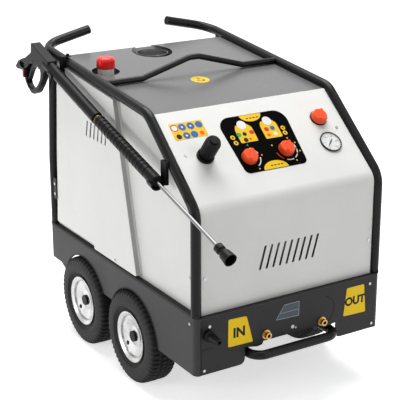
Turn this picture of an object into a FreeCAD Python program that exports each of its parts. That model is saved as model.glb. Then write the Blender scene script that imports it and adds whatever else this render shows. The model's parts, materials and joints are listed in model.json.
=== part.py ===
import FreeCAD, Part
import math
import os

# Hot-water pressure washer on four wheels. Millimetres, +Z up, floor at z = 0.
# x = 0 is the middle plane, the control console faces -Y, the push handle is at +Y.

V = FreeCAD.Vector

# Gaps
seat_gap = 0.3
run_gap = 0.05

# Base
base_side_x = 370.0
base_front_y = -510.0
base_rear_y = 549.0
base_sheet = 3.0
base_corner_r = 20.0
skirt_top_z = 381.0
skirt_front_z = 186.0
skirt_rear_z = 252.0
skirt_return = 18.0
arch_r = 175.0
arch_ahead = 4.0
arch_tip_z = 247.0
deck_sheet = 3.0
seal_height = 12.0
seal_width = 19.0
seal_overhang = 2.0
seal_front_drop = 7.0
beam_x = 255.0
beam_size = 40.0
beam_wall = 3.0

# Front plate
wing_bottom_z = 187.0
wing_inner_x = 183.5
lobe_z = 236.0
lobe_inner_x = 117.0
notch_z = 249.5
label_wing_r = 20.0
corner_screw_y = -476.0
corner_screw_z = 359.0

# Wheels and axles
axle_front_y = -96.0
axle_rear_y = 271.0
axle_z = 165.0
axle_r = 12.5
axle_end_x = 366.0
tyre_r = 165.0
tyre_width = 102.0
rim_width = 94.0
wheel_x = 335.5
rim_barrel_r = 78.0
rim_flange_r = 90.0
rim_sheet = 2.5
hub_r = 22.0
valve_hole_r = 8.0
valve_hole_at = 57.0
cap_r = 19.0
cap_lid = 7.0
bracket_sheet = 8.0
bracket_width = 90.0

# Tube frame
tube_r = 16.85
tube_wall = 2.6
seam_turn = 90.0
frame_x = 356.0
post_front_y = -490.0
fold_low_z = 730.0
fold_high_y = -204.0
fold_high_z = 977.0
rail_rise = 0.106
bend_r = 80.0
handle_y = 575.0
handle_bend_r = 70.0
handle_end_x = 171.0
handle_end_rise = 42.0
rear_post_y = 523.0
rear_post_bend_z = 650.0
rear_post_top_y = 488.0
plug_head = 4.0
plug_depth = 22.0
lift_bar_r = 10.5
lift_bar_y = 100.0
lift_bar_low_x = 206.0
lift_bar_peak_x = 20.0
lift_bar_rise = 52.0
lift_bar_bend_r = 45.0

# Pull handle
pull_x = 167.0
pull_y = -545.0
pull_z = 219.0
pull_r = 15.5
pull_wall = 2.5
pull_bend_r = 45.0
pull_root_y = -440.0
lug_width = 40.0
lug_sheet = 6.0

# Cabinet sheets
sheet = 2.0
console_low_y = -490.0
console_low_z = 733.0
console_high_z = 971.0
console_bend_r = 50.0
front_half_x = 338.8
top_drop = 8.0
top_half_x = 340.3
top_rear_y = 463.0
top_corner_r = 15.0
side_x = 350.0
rear_panel_y = 504.0
rear_panel_top_y = 461.0
rear_half_x = 348.7
cover_x = 373.5
cover_front_low_y = -138.0
cover_front_low_z = 399.0
cover_front_slope = 0.239
cover_low_z = 401.5
cover_high_z = 416.5
cover_step_y = 170.0
cover_rear_y = 470.0
cover_rear_slope = 0.0753
cover_inset = 28.0
flue_hole_r = 75.0
flue_y = 395.0
fuel_x = -268.0
fuel_y = 250.0
fuel_hole_r = 49.0
vent_width = 9.0

# Console controls, measured along the slope from the lower fold
overlay_low_s = 95.0
overlay_high_s = 316.0
overlay_low_x = 120.0
overlay_high_x = 133.0
overlay_low_r = 20.0
overlay_high_r = 45.0
overlay_sheet = 1.0
knob_r = 27.5
knob_height = 26.0
knob_shaft_r = 4.0
switch_x = -83.0
switch_s = 152.5
heat_x = 64.5
heat_s = 158.0
detergent_x = 248.5
detergent_s = 255.0
detergent_ring_r = 30.0
gauge_x = 245.0
gauge_s = 155.0
gauge_r = 39.0
gauge_body_r = 33.0
gauge_depth = 36.0
pressure_x = -233.0
pressure_s = 186.0
pressure_base_r = 29.0
pressure_knob_r = 26.0
pressure_knob_low_r = 22.0
pressure_knob_height = 86.0
pressure_stem_r = 7.0
box_half_x = 150.0
box_low_s = 110.0
box_high_s = 300.0
box_depth = 90.0

# Water ports and cable gland
inlet_x = -102.0
inlet_z = 271.0
outlet_x = 124.0
outlet_z = 263.0
port_r = 11.0
port_bore_r = 6.5
port_reach = 15.0
port_flange_r = 16.0
port_flange = 3.0
gland_x = -324.0
gland_z = 322.5
gland_reach = 66.0

# Gun and lance, hung outside the left frame
lance_x = -405.0
joint_y = 53.0
joint_z = 909.0
lance_rise = 0.286
barrel_rise = 0.307
lance_length = 845.0
lance_r = 6.0
lance_grip_start = 12.0
lance_grip_length = 398.0
lance_grip_r = 21.0
lance_grip_groove = 2.0
lance_grip_ribs = 16
barrel_r = 21.0
barrel_length = 400.0
nut_r = 17.0
nut_length = 8.0
nozzle_length = 75.0
nozzle_start = lance_length - nozzle_length
nozzle_body_r = 15.5
cup_mouth_r = 21.0
cup_length = 44.0
cup_wall = 3.0
gun_half = 18.0
loop_half = 12.0
trigger_half = 8.0
trigger_pivot_y = joint_y + 463.0
trigger_pivot_z = joint_z + 112.0
trigger_pin_r = 3.0
latch_pivot_y = joint_y + 559.0
latch_pivot_z = joint_z + 59.0
latch_pin_r = 3.0
latch_sheet = 6.0
inlet_y = joint_y + 553.0
inlet_z0 = joint_z + 91.0
inlet_stem_r = 6.0
inlet_r = 20.0
inlet_length = 92.0
inlet_fall = 0.35
cradle_wall = 5.0
cradle_length = 30.0
front_cradle_at = 404.0
rear_cradle_at = 330.0

# Fuel, water and heat
boiler_r = 160.0
boiler_y = 300.0
boiler_low_z = 388.0
boiler_high_z = 930.0
boiler_wall = 3.0
flue_r = 58.5
flue_wall = 1.5
coil_r = 120.0
coil_tube_r = 10.0
coil_pitch = 46.0
coil_turns = 8
tank_inner_x = 190.0
tank_low_y = 60.0
tank_high_y = 420.0
tank_high_z = 950.0
neck_r = 29.0
neck_wall = 4.0
fuel_cap_r = 32.5
fuel_cap_height = 36.0
motor_r = 95.0
motor_y = -300.0
motor_low_x = -10.0
motor_high_x = 250.0
motor_shaft_r = 14.0
motor_foot = 12.0
pump_length = 190.0
burner_z = 820.0
burner_r = 85.0
burner_width = 90.0
burner_tube_r = 45.0
burner_shaft_r = 6.0
burner_gap = 26.0

# Worked out from the values above
deck_top_z = skirt_top_z + deck_sheet
seal_top_z = skirt_top_z + seal_height
console_high_y = fold_high_y
console_run = console_high_y - console_low_y
console_climb = console_high_z - console_low_z
console_length = math.hypot(console_run, console_climb)
console_angle = math.atan2(console_climb, console_run)
front_y = console_low_y - sheet
lance_norm = math.hypot(1.0, lance_rise)
lance_dir = V(0, -1.0 / lance_norm, -lance_rise / lance_norm)
barrel_norm = math.hypot(1.0, barrel_rise)
barrel_dir = V(0, 1.0 / barrel_norm, barrel_rise / barrel_norm)
joint_point = V(lance_x, joint_y, joint_z)
inlet_norm = math.hypot(1.0, inlet_fall)
inlet_dir = V(0, 1.0 / inlet_norm, -inlet_fall / inlet_norm)


def box(x0, x1, y0, y1, z0, z1):
    return Part.makeBox(x1 - x0, y1 - y0, z1 - z0, V(x0, y0, z0))


def rod(start, direction, radius, length):
    return Part.makeCylinder(radius, length, start, direction)


def ring(start, direction, outer_r, inner_r, length):
    return rod(start, direction, outer_r, length).cut(rod(start, direction, inner_r, length))


def mirrored(shape):
    return shape.mirror(V(0, 0, 0), V(1, 0, 0))


def fused(shapes):
    return shapes[0].fuse(shapes[1:]).removeSplitter()


def rounded_wire(points, radii):
    """Closed outline through the points, each corner rounded by its own radius."""
    edges = []
    starts = []
    ends = []
    count = len(points)
    for i in range(count):
        before = points[i - 1]
        here = points[i]
        after = points[(i + 1) % count]
        into = (here - before).normalize()
        out = (after - here).normalize()
        turn = into.getAngle(out)
        radius = radii[i]
        if radius <= 0 or turn < 1e-4:
            starts.append(here)
            ends.append(here)
            edges.append(None)
            continue
        reach = radius * math.tan(turn / 2)
        first = here - into * reach
        last = here + out * reach
        middle_dir = (out - into).normalize()
        middle = here + middle_dir * (radius / math.cos(turn / 2) - radius)
        starts.append(first)
        ends.append(last)
        edges.append(Part.Arc(first, middle, last).toShape())
    wire_edges = []
    for i in range(count):
        if edges[i] is not None:
            wire_edges.append(edges[i])
        following = (i + 1) % count
        if ends[i].distanceToPoint(starts[following]) > 1e-6:
            wire_edges.append(Part.makeLine(ends[i], starts[following]))
    return Part.Wire(Part.__sortEdges__(wire_edges))


def plate(points, radii, thickness):
    """Flat plate: outline points in one plane, pushed along the thickness vector."""
    if not isinstance(radii, (list, tuple)):
        radii = [radii] * len(points)
    return Part.Face(rounded_wire(points, radii)).extrude(thickness)


def side_plate(outline, radii, x0, x1):
    return plate([V(x0, y, z) for y, z in outline], radii, V(x1 - x0, 0, 0))


def front_facing_plate(outline, radii, y0, y1):
    return plate([V(x, y0, z) for x, z in outline], radii, V(0, y1 - y0, 0))


def spun(profile, start, direction):
    """Turned solid: profile of (distance along, radius) pairs, spun about the direction."""
    points = [V(r, 0, t) for t, r in profile]
    face = Part.Face(Part.makePolygon(points + [points[0]]))
    solid = face.revolve(V(0, 0, 0), V(0, 0, 1), 360)
    solid.Placement = FreeCAD.Placement(start, FreeCAD.Rotation(V(0, 0, 1), direction))
    return solid


def path_edges(points, radii):
    edges = []
    here = points[0]
    for i in range(1, len(points) - 1):
        into = (points[i] - points[i - 1]).normalize()
        out = (points[i + 1] - points[i]).normalize()
        turn = into.getAngle(out)
        radius = radii[i - 1]
        reach = radius * math.tan(turn / 2)
        first = points[i] - into * reach
        last = points[i] + out * reach
        middle_dir = (out - into).normalize()
        middle = points[i] + middle_dir * (radius / math.cos(turn / 2) - radius)
        edges.append(Part.makeLine(here, first))
        edges.append(Part.Arc(first, middle, last).toShape())
        here = last
    edges.append(Part.makeLine(here, points[-1]))
    return edges


def bent_rod(points, radii, radius):
    """Round bar along straight runs joined by tangent arcs, its seam on the front or top."""
    edges = path_edges(points, radii)
    start_dir = (points[1] - points[0]).normalize()
    circle = Part.Wire(Part.makeCircle(radius, points[0], start_dir))
    circle.rotate(points[0], start_dir, seam_turn)
    shell = Part.BRepOffsetAPI.MakePipeShell(Part.Wire(edges))
    shell.add(circle)
    shell.build()
    shell.makeSolid()
    return shell.shape()


def rail_z(y):
    return fold_high_z + rail_rise * (y - fold_high_y)


def top_z(y):
    """Upper face of the grey top sheet."""
    return rail_z(y) - top_drop


def console_point(x, s, h):
    """Point on the console: s up the slope from the lower fold, h above its face."""
    y = console_low_y + s * math.cos(console_angle) - h * math.sin(console_angle)
    z = console_low_z + s * math.sin(console_angle) + h * math.cos(console_angle)
    return V(x, y, z)


console_up = V(0, -math.sin(console_angle), math.cos(console_angle))


def console_rod(x, s, h0, h1, radius):
    return rod(console_point(x, s, h0), console_up, radius, h1 - h0)


def console_plate(outline, radii, h0, h1):
    points = [console_point(x, s, h0) for x, s in outline]
    return plate(points, radii, console_up * (h1 - h0))


def lance_point(t):
    return joint_point + lance_dir * t


def barrel_point(t):
    return joint_point + barrel_dir * t


# Tube frame
def frame_points():
    return [
        V(frame_x, post_front_y, deck_top_z),
        V(frame_x, post_front_y, fold_low_z),
        V(frame_x, fold_high_y, fold_high_z),
        V(frame_x, handle_y, rail_z(handle_y)),
        V(handle_end_x, handle_y, rail_z(handle_y) + handle_end_rise),
    ]


def rear_post_points(top_gap):
    return [
        V(frame_x, rear_post_y, deck_top_z),
        V(frame_x, rear_post_y, rear_post_bend_z),
        V(frame_x, rear_post_top_y, rail_z(rear_post_top_y) - top_gap),
    ]


frame_radii = [bend_r, bend_r, handle_bend_r]
handle_dir = (frame_points()[4] - frame_points()[3]).normalize()


def hoop_rod(radius):
    return bent_rod(frame_points(), frame_radii, radius)


def post_rod(radius, top_gap):
    return bent_rod(rear_post_points(top_gap), [bend_r], radius)


def frame_keepout():
    """Space of one tube frame with the seat gap round it."""
    return hoop_rod(tube_r + seat_gap).fuse(post_rod(tube_r + seat_gap, 0))


def make_frame():
    outer = hoop_rod(tube_r).fuse(post_rod(tube_r, 0))
    inner = hoop_rod(tube_r - tube_wall).fuse(post_rod(tube_r - tube_wall, tube_r))
    return outer.cut(inner).removeSplitter()


def make_handle_plugs():
    end = frame_points()[4]
    head = rod(end, handle_dir, tube_r, plug_head)
    stem_r = tube_r - tube_wall - run_gap
    stem = rod(end - handle_dir * plug_depth, handle_dir, stem_r, plug_depth)
    plug = head.fuse(stem)
    return Part.makeCompound([plug, mirrored(plug)])


def lift_bar_z():
    return top_z(lift_bar_y) + lift_bar_r + 1.0


def make_lifting_bar(keepout):
    low_z = lift_bar_z()
    high_z = low_z + lift_bar_rise
    end_x = frame_x
    points = [
        V(-end_x, lift_bar_y, low_z),
        V(-lift_bar_low_x, lift_bar_y, low_z),
        V(-lift_bar_peak_x, lift_bar_y, high_z),
        V(lift_bar_peak_x, lift_bar_y, high_z),
        V(lift_bar_low_x, lift_bar_y, low_z),
        V(end_x, lift_bar_y, low_z),
    ]
    radii = [lift_bar_bend_r] * 4
    bar = bent_rod(points, radii, lift_bar_r)
    trimmed = bar.cut(keepout).cut(mirrored(keepout))
    middle = [s for s in trimmed.Solids if s.BoundBox.XMin < 0 < s.BoundBox.XMax]
    return middle[0]


# Base
def base_outline(side, front, rear):
    return [(-side, front), (side, front), (side, rear), (-side, rear)]


def base_slab(side, front, rear, radius, z0, z1):
    points = [V(x, y, z0) for x, y in base_outline(side, front, rear)]
    return plate(points, radius, V(0, 0, z1 - z0))


def beam(x):
    half = beam_size / 2
    low = base_front_y + base_sheet + 30
    high = base_rear_y - base_sheet - 30
    bottom = skirt_top_z - beam_size
    outer = box(x - half, x + half, low, high, bottom, skirt_top_z)
    wall = beam_wall
    inner = box(x - half + wall, x + half - wall, low, high, bottom + wall, skirt_top_z - wall)
    return outer.cut(inner)


def pull_lug(x):
    half = lug_width / 2
    low = pull_z - pull_r - 4
    return box(x - half, x + half, pull_root_y, pull_root_y + lug_sheet, low, skirt_top_z)


def pull_lug_brace(x):
    """Flange from the lug to the beam beside it, under the deck."""
    side = 1 if x > 0 else -1
    inner = x
    outer = side * (beam_x - beam_size / 2)
    low = skirt_top_z - beam_size
    return box(min(inner, outer), max(inner, outer), pull_root_y, pull_root_y + lug_sheet, low, skirt_top_z)


def make_deck():
    slab = base_slab(base_side_x, base_front_y, base_rear_y, base_corner_r, skirt_top_z, deck_top_z)
    parts = [slab, beam(-beam_x), beam(beam_x)]
    for x in (-pull_x, pull_x):
        parts.append(pull_lug(x))
        parts.append(pull_lug_brace(x))
    return fused(parts)


def skirt_side_profile():
    """Side view of the skirt: y, z points of the lower edge without the arches."""
    return [
        (base_front_y, skirt_top_z),
        (base_front_y, skirt_front_z),
        (axle_front_y, skirt_front_z),
        (axle_front_y, arch_tip_z),
        (axle_rear_y, arch_tip_z),
        (axle_rear_y + 156, skirt_rear_z - 16),
        (base_rear_y - 88, skirt_rear_z),
        (base_rear_y, skirt_rear_z),
        (base_rear_y, skirt_top_z),
    ]


def make_skirt():
    outer = base_slab(base_side_x, base_front_y, base_rear_y, base_corner_r, skirt_front_z, skirt_top_z)
    inner = base_slab(
        base_side_x - base_sheet,
        base_front_y + base_sheet,
        base_rear_y - base_sheet,
        base_corner_r - base_sheet,
        skirt_front_z,
        skirt_top_z,
    )
    walls = outer.cut(inner)
    keep = side_plate(skirt_side_profile(), 0, -base_side_x, base_side_x)
    walls = walls.common(keep)
    mouth = base_side_x - skirt_return
    walls = walls.cut(
        box(-mouth, mouth, base_front_y - 1, base_front_y + base_corner_r, 0, skirt_top_z)
    )
    for y in (axle_front_y, axle_rear_y):
        arch_y = y - arch_ahead
        arch = rod(V(-base_side_x, arch_y, axle_z), V(1, 0, 0), arch_r, 2 * base_side_x)
        walls = walls.cut(arch)
    for side, point in corner_screws():
        walls = walls.cut(screw_hole(point, V(side, 0, 0)))
    return walls


def front_plate_outline():
    edge = base_side_x - skirt_return - seat_gap
    right = [
        (lobe_inner_x - 6, notch_z),
        (lobe_inner_x, lobe_z + 2),
        (wing_inner_x - 48, lobe_z),
        (wing_inner_x, lobe_z + 9),
        (wing_inner_x, wing_bottom_z),
        (edge, wing_bottom_z),
        (edge, skirt_top_z),
    ]
    left = [(-x, z) for x, z in reversed(right)]
    return left + right


def make_front_plate():
    outline = front_plate_outline()
    radii = []
    for x, z in outline:
        radius = 0
        if abs(x) == wing_inner_x and z == wing_bottom_z:
            radius = label_wing_r
        radii.append(radius)
    body = front_facing_plate(outline, radii, base_front_y, base_front_y + base_sheet)
    start_y = base_front_y - 1
    for x, z in ((inlet_x, inlet_z), (outlet_x, outlet_z), (gland_x, gland_z)):
        hole_r = port_r + seat_gap
        body = body.cut(rod(V(x, start_y, z), V(0, 1, 0), hole_r, base_sheet + 2))
    for point in plate_screw_points():
        body = body.cut(screw_hole(point, V(0, -1, 0)))
    return body


def make_seal(keepout):
    """Strip along the edge of the deck, lower in front than at the sides."""
    low = deck_top_z + run_gap
    side = base_side_x + seal_overhang
    front = base_front_y - seal_overhang
    rear = base_rear_y + seal_overhang
    radius = base_corner_r + seal_overhang
    outer = base_slab(side, front, rear, radius, low, seal_top_z)
    inner = base_slab(
        side - seal_width,
        front + seal_width - 3,
        rear - seal_width - 15,
        2.0,
        low,
        seal_top_z,
    )
    body = outer.cut(inner)
    front_low = seal_top_z - seal_front_drop
    body = body.cut(box(-frame_x, frame_x, front - 1, front + seal_width, front_low, seal_top_z + 1))
    body = body.cut(keepout).cut(mirrored(keepout))
    return body


# Wheels
def make_tyre(x, y):
    half = tyre_width / 2
    bead_half = rim_width / 2 - 9
    inner_r = rim_barrel_r + seat_gap
    outline = [
        (-bead_half, inner_r),
        (-bead_half, rim_flange_r + 4),
        (-half, 112),
        (-half, 134),
        (-half + 1.5, 150),
        (-half + 6, 160),
        (-half + 15, 164.4),
        (0, tyre_r),
        (half - 15, 164.4),
        (half - 6, 160),
        (half - 1.5, 150),
        (half, 134),
        (half, 112),
        (bead_half, rim_flange_r + 4),
        (bead_half, inner_r),
        (bead_half - 12, inner_r),
        (bead_half - 6, 104),
        (bead_half - 2, 134),
        (bead_half - 14, 150),
        (0, 152),
        (-bead_half + 14, 150),
        (-bead_half + 2, 134),
        (-bead_half + 6, 104),
        (-bead_half + 12, inner_r),
    ]
    return spun(outline, V(x, y, axle_z), V(1, 0, 0))


def make_rim(x, y, side):
    """Pressed rim. The profile runs outwards from the wheel's middle plane."""
    half = rim_width / 2
    lip = half - 1.0
    seat = half - 9 + seat_gap
    bore_r = axle_r + run_gap
    outline = [
        (-lip, rim_flange_r),
        (-lip, rim_flange_r - 4),
        (-seat - rim_sheet, rim_barrel_r - rim_sheet),
        (31, rim_barrel_r - rim_sheet),
        (32.5, rim_barrel_r - 10),
        (29, valve_hole_at - 4),
        (24, hub_r + 14),
        (25, hub_r),
        (-lip + 5, hub_r),
        (-lip + 5, bore_r),
        (29, bore_r),
        (29, hub_r + 2),
        (27, hub_r + 14),
        (32, valve_hole_at - 4),
        (35.5, rim_barrel_r - 10),
        (34.5, rim_barrel_r - rim_sheet),
        (seat + rim_sheet, rim_barrel_r - rim_sheet),
        (lip, rim_flange_r - 4),
        (lip, rim_flange_r),
        (seat, rim_flange_r - 2),
        (seat, rim_barrel_r),
        (-seat, rim_barrel_r),
        (-seat, rim_flange_r - 2),
    ]
    body = spun(outline, V(x, y, axle_z), V(side, 0, 0))
    place = valve_hole_at * math.sqrt(0.5)
    hole = rod(V(x, y + place, axle_z - place), V(side, 0, 0), valve_hole_r, half)
    return body.cut(hole)


def make_axles():
    bars = []
    for y in (axle_front_y, axle_rear_y):
        bars.append(rod(V(-axle_end_x, y, axle_z), V(1, 0, 0), axle_r, 2 * axle_end_x))
    return Part.makeCompound(bars)


def make_axle_caps():
    caps = []
    inner_r = axle_r + run_gap
    for y in (axle_front_y, axle_rear_y):
        for side in (-1, 1):
            start = V(side * (axle_end_x - 1), y, axle_z)
            lid = rod(V(side * axle_end_x, y, axle_z), V(side, 0, 0), cap_r, cap_lid)
            collar = ring(start, V(side, 0, 0), cap_r, inner_r, 1)
            caps.append(lid.fuse(collar))
    return Part.makeCompound(caps)


def make_brackets():
    plates = []
    for y in (axle_front_y, axle_rear_y):
        for side in (-1, 1):
            x0 = beam_x + beam_size / 2
            outline = [
                (y - bracket_width / 2, skirt_top_z),
                (y - bracket_width / 2, skirt_top_z - beam_size),
                (y - axle_r - 12, axle_z),
                (y - axle_r - 12, axle_z - axle_r - 12),
                (y + axle_r + 12, axle_z - axle_r - 12),
                (y + axle_r + 12, axle_z),
                (y + bracket_width / 2, skirt_top_z - beam_size),
                (y + bracket_width / 2, skirt_top_z),
            ]
            radii = [0, 10, 20, 12, 12, 20, 10, 0]
            body = side_plate(outline, radii, x0, x0 + bracket_sheet)
            hole = rod(V(x0 - 1, y, axle_z), V(1, 0, 0), axle_r + run_gap, bracket_sheet + 2)
            body = body.cut(hole)
            plates.append(body if side > 0 else mirrored(body))
    return Part.makeCompound(plates)


def make_pull_handle():
    points = [
        V(-pull_x, pull_root_y, pull_z),
        V(-pull_x, pull_y, pull_z),
        V(pull_x, pull_y, pull_z),
        V(pull_x, pull_root_y, pull_z),
    ]
    radii = [pull_bend_r, pull_bend_r]
    return bent_rod(points, radii, pull_r).cut(bent_rod(points, radii, pull_r - pull_wall))


# Cabinet
def screw(point, direction, head_r=5.0):
    head = rod(point, direction, head_r, 2.2)
    shank = rod(point - direction * 8, direction, 2.0, 8)
    return head.fuse(shank)


def screw_hole(point, direction):
    return rod(point - direction * 12, direction, 2.1, 20)


def top_screw_points():
    spots = ((-334, 381), (-323, 150), (-324, 0), (323, 384), (327, 148), (330, 11))
    return [V(x, y, top_z(y)) for x, y in spots]


def top_normal():
    return V(0, -rail_rise, 1).normalize()


def console_screw_points():
    return [console_point(-297, 204, 0), console_point(300, 207, 0)]


def front_screw_points():
    return [V(x, front_y, 507) for x in (-325, 325)]


def plate_screw_points():
    spots = ((-319, 351), (-339, 202), (325, 354), (339, 204))
    return [V(x, base_front_y, z) for x, z in spots]


def side_screw_points():
    return [V(-side_x - sheet / 2, -446, 501), V(-cover_x - sheet / 2, 12, 412)]


def corner_screws():
    """Side and place of the screw through each front corner of the skirt."""
    return [(side, V(side * base_side_x, corner_screw_y, corner_screw_z)) for side in (-1, 1)]


def make_front_panel():
    """One sheet: upright front, soft bend, console slope."""
    outer = [
        V(-front_half_x, front_y, deck_top_z),
        console_point(-front_half_x, 0, 0),
        console_point(-front_half_x, console_length, 0),
        console_point(-front_half_x, console_length, -sheet),
        console_point(-front_half_x, 0, -sheet),
        V(-front_half_x, front_y + sheet, deck_top_z),
    ]
    fold = outer[1]
    outer[1] = V(-front_half_x, front_y, fold.z - sheet * math.tan(console_angle))
    inner_fold_z = outer[1].z - sheet * math.tan((math.pi / 2 - console_angle) / 2)
    outer[4] = V(-front_half_x, front_y + sheet, inner_fold_z)
    radii = [0, console_bend_r, 0, 0, console_bend_r - sheet, 0]
    body = plate(outer, radii, V(2 * front_half_x, 0, 0))
    for x, s in ((switch_x, switch_s), (heat_x, heat_s), (detergent_x, detergent_s)):
        body = body.cut(console_rod(x, s, -10, 10, knob_shaft_r + 1))
    body = body.cut(console_rod(gauge_x, gauge_s, -10, 10, gauge_body_r + seat_gap))
    body = body.cut(console_rod(pressure_x, pressure_s, -10, 10, pressure_stem_r + 4))
    for point in console_screw_points():
        body = body.cut(screw_hole(point, console_up))
    for point in front_screw_points():
        body = body.cut(screw_hole(point, V(0, -1, 0)))
    for slot in front_vents():
        body = body.cut(slot)
    return body


def slanted_slot(x, z, length, lean):
    """Straight slanted slot through the upright front."""
    points = [
        V(x, front_y - 5, z),
        V(x + vent_width, front_y - 5, z),
        V(x + vent_width + lean, front_y - 5, z + length),
        V(x + lean, front_y - 5, z + length),
    ]
    return plate(points, 2.0, V(0, 20, 0))


def front_vents():
    slots = []
    for i in range(9):
        slots.append(slanted_slot(-122 + 26 * i, 492, 80, 22))
    return slots


def top_plane_prism(outline, radii, thickness):
    points = [V(x, y, top_z(y)) for x, y in outline]
    return plate(points, radii, V(0, 0, -thickness))


def make_top_panel(keepout):
    front = console_high_y + sheet * math.sin(console_angle) + seat_gap
    outline = [
        (-top_half_x, front),
        (top_half_x, front),
        (top_half_x, top_rear_y),
        (-top_half_x, top_rear_y),
    ]
    body = top_plane_prism(outline, [0, 0, top_corner_r, top_corner_r], sheet)
    body = body.cut(rod(V(0, flue_y, 900), V(0, 0, 1), flue_hole_r, 200))
    body = body.cut(rod(V(fuel_x, fuel_y, 900), V(0, 0, 1), fuel_hole_r, 200))
    for point in top_screw_points():
        body = body.cut(screw_hole(point, top_normal()))
    return body.cut(keepout).cut(mirrored(keepout))


def side_area():
    """Area inside one tube frame, by the tube centres."""
    return [
        (post_front_y, deck_top_z),
        (post_front_y, fold_low_z),
        (fold_high_y, fold_high_z),
        (rear_post_top_y, rail_z(rear_post_top_y)),
        (rear_post_y, rear_post_bend_z),
        (rear_post_y, deck_top_z),
    ]


def cover_outline(inset):
    slope = cover_front_slope
    rear = cover_rear_slope
    low_y = cover_front_low_y - slope * (cover_front_low_z - cover_low_z)
    top_gap = tube_r + 3 * seat_gap + inset
    high_y = cover_front_low_y
    for step in range(4):
        high_y = cover_front_low_y + slope * (rail_z(high_y) - top_gap - cover_front_low_z)
    rear_y = cover_rear_y
    for step in range(4):
        rear_y = cover_rear_y - rear * (rail_z(rear_y) - top_gap - cover_high_z)
    return [
        (low_y + inset, cover_low_z + inset),
        (high_y + inset, rail_z(high_y) - top_gap),
        (rear_y - inset, rail_z(rear_y) - top_gap),
        (cover_rear_y - inset, cover_high_z + inset),
        (cover_step_y, cover_high_z + inset),
        (cover_step_y, cover_low_z + inset),
    ]


def side_sheet(keepout):
    body = side_plate(side_area(), 0, side_x - sheet / 2, side_x + sheet / 2)
    return body.cut(keepout)


def cover_vents():
    slots = []
    for i in range(6):
        y = 60 + 28 * i
        points = [(y, 810), (y + vent_width, 810), (y + vent_width - 12, 866), (y - 12, 866)]
        slots.append(side_plate(points, 2.0, -cover_x - 10, -cover_x + 10))
    return slots


def make_left_side_panel(keepout):
    body = mirrored(side_sheet(keepout))
    opening = side_plate(cover_outline(cover_inset), 12, -side_x - 5, -side_x + 5)
    body = body.cut(opening)
    return body.cut(screw_hole(side_screw_points()[0], V(-1, 0, 0)))


def make_left_cover():
    """Tray that stands proud of the side sheet, closed all round by its edges."""
    outer_x = -cover_x - sheet / 2
    inner_x = -cover_x + sheet / 2
    back_x = -side_x - sheet / 2
    face = side_plate(cover_outline(0), 6, outer_x, inner_x)
    rim = side_plate(cover_outline(0), 6, inner_x, back_x)
    rim = rim.cut(side_plate(cover_outline(sheet), 4, inner_x, back_x))
    body = fused([face, rim])
    for slot in cover_vents():
        body = body.cut(slot)
    return body.cut(screw_hole(side_screw_points()[1], V(-1, 0, 0)))


def make_right_side_panel(keepout):
    """Sheet with a pressed field like the cover on the other side."""
    body = side_sheet(keepout)
    inner_x = side_x - sheet / 2
    field_x = side_x + sheet / 2 + 9
    field = side_plate(cover_outline(10), 12, inner_x, field_x)
    hollow = side_plate(cover_outline(10 + sheet), 10, inner_x, field_x - sheet)
    return body.fuse(field).cut(hollow).removeSplitter()


def make_rear_panel(keepout):
    top = top_z(rear_panel_top_y) - sheet - seat_gap
    outline = [
        (rear_panel_y, deck_top_z),
        (rear_panel_y, rear_post_bend_z),
        (rear_panel_top_y, top),
        (rear_panel_top_y - sheet, top),
        (rear_panel_y - sheet, rear_post_bend_z),
        (rear_panel_y - sheet, deck_top_z),
    ]
    body = side_plate(outline, [0, 40, 0, 0, 38, 0], -rear_half_x, rear_half_x)
    return body.cut(keepout).cut(mirrored(keepout))


def make_screws():
    up = top_normal()
    front = V(0, -1, 0)
    left = V(-1, 0, 0)
    screws = [screw(point, up) for point in top_screw_points()]
    screws += [screw(point, console_up) for point in console_screw_points()]
    screws += [screw(point, front, 6.0) for point in front_screw_points()]
    screws += [screw(point, front) for point in plate_screw_points()]
    screws += [screw(point, left) for point in side_screw_points()]
    screws += [screw(point, V(side, 0, 0)) for side, point in corner_screws()]
    return Part.makeCompound(screws)


# Controls
def make_overlay():
    outline = [
        (-overlay_low_x, overlay_low_s),
        (overlay_low_x, overlay_low_s),
        (overlay_high_x, overlay_high_s),
        (-overlay_high_x, overlay_high_s),
    ]
    radii = [overlay_low_r, overlay_low_r, overlay_high_r, overlay_high_r]
    body = console_plate(outline, radii, 0, overlay_sheet)
    for x, s in ((switch_x, switch_s), (heat_x, heat_s)):
        body = body.cut(console_rod(x, s, -5, 5, knob_shaft_r + 1))
    return body


def make_knob(x, s, base_h):
    """Round knob with a raised finger grip across its face and its own shaft."""
    start = console_point(x, s, base_h + seat_gap)
    profile = [
        (0, 0),
        (0, knob_r),
        (4, knob_r),
        (knob_height - 10, knob_r - 2),
        (knob_height - 6, knob_r - 5),
        (knob_height - 6, 0),
    ]
    body = spun(profile, start, console_up)
    half = knob_r - 6
    ridge = Part.makeBox(2 * half, 9, 8, V(-half, -4.5, knob_height - 8))
    ridge = ridge.makeFillet(3, [e for e in ridge.Edges if abs(e.tangentAt(e.FirstParameter).z) > 0.9])
    turn = FreeCAD.Rotation(V(0, 0, 1), 60)
    lean = FreeCAD.Rotation(V(1, 0, 0), math.degrees(console_angle))
    ridge.Placement = FreeCAD.Placement(start, lean.multiply(turn))
    shaft_h = -sheet - 12
    shaft = console_rod(x, s, shaft_h, base_h + 2, knob_shaft_r)
    return fused([body, ridge, shaft])


def make_detergent_knob():
    return make_knob(detergent_x, detergent_s, overlay_sheet + 3)


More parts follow.
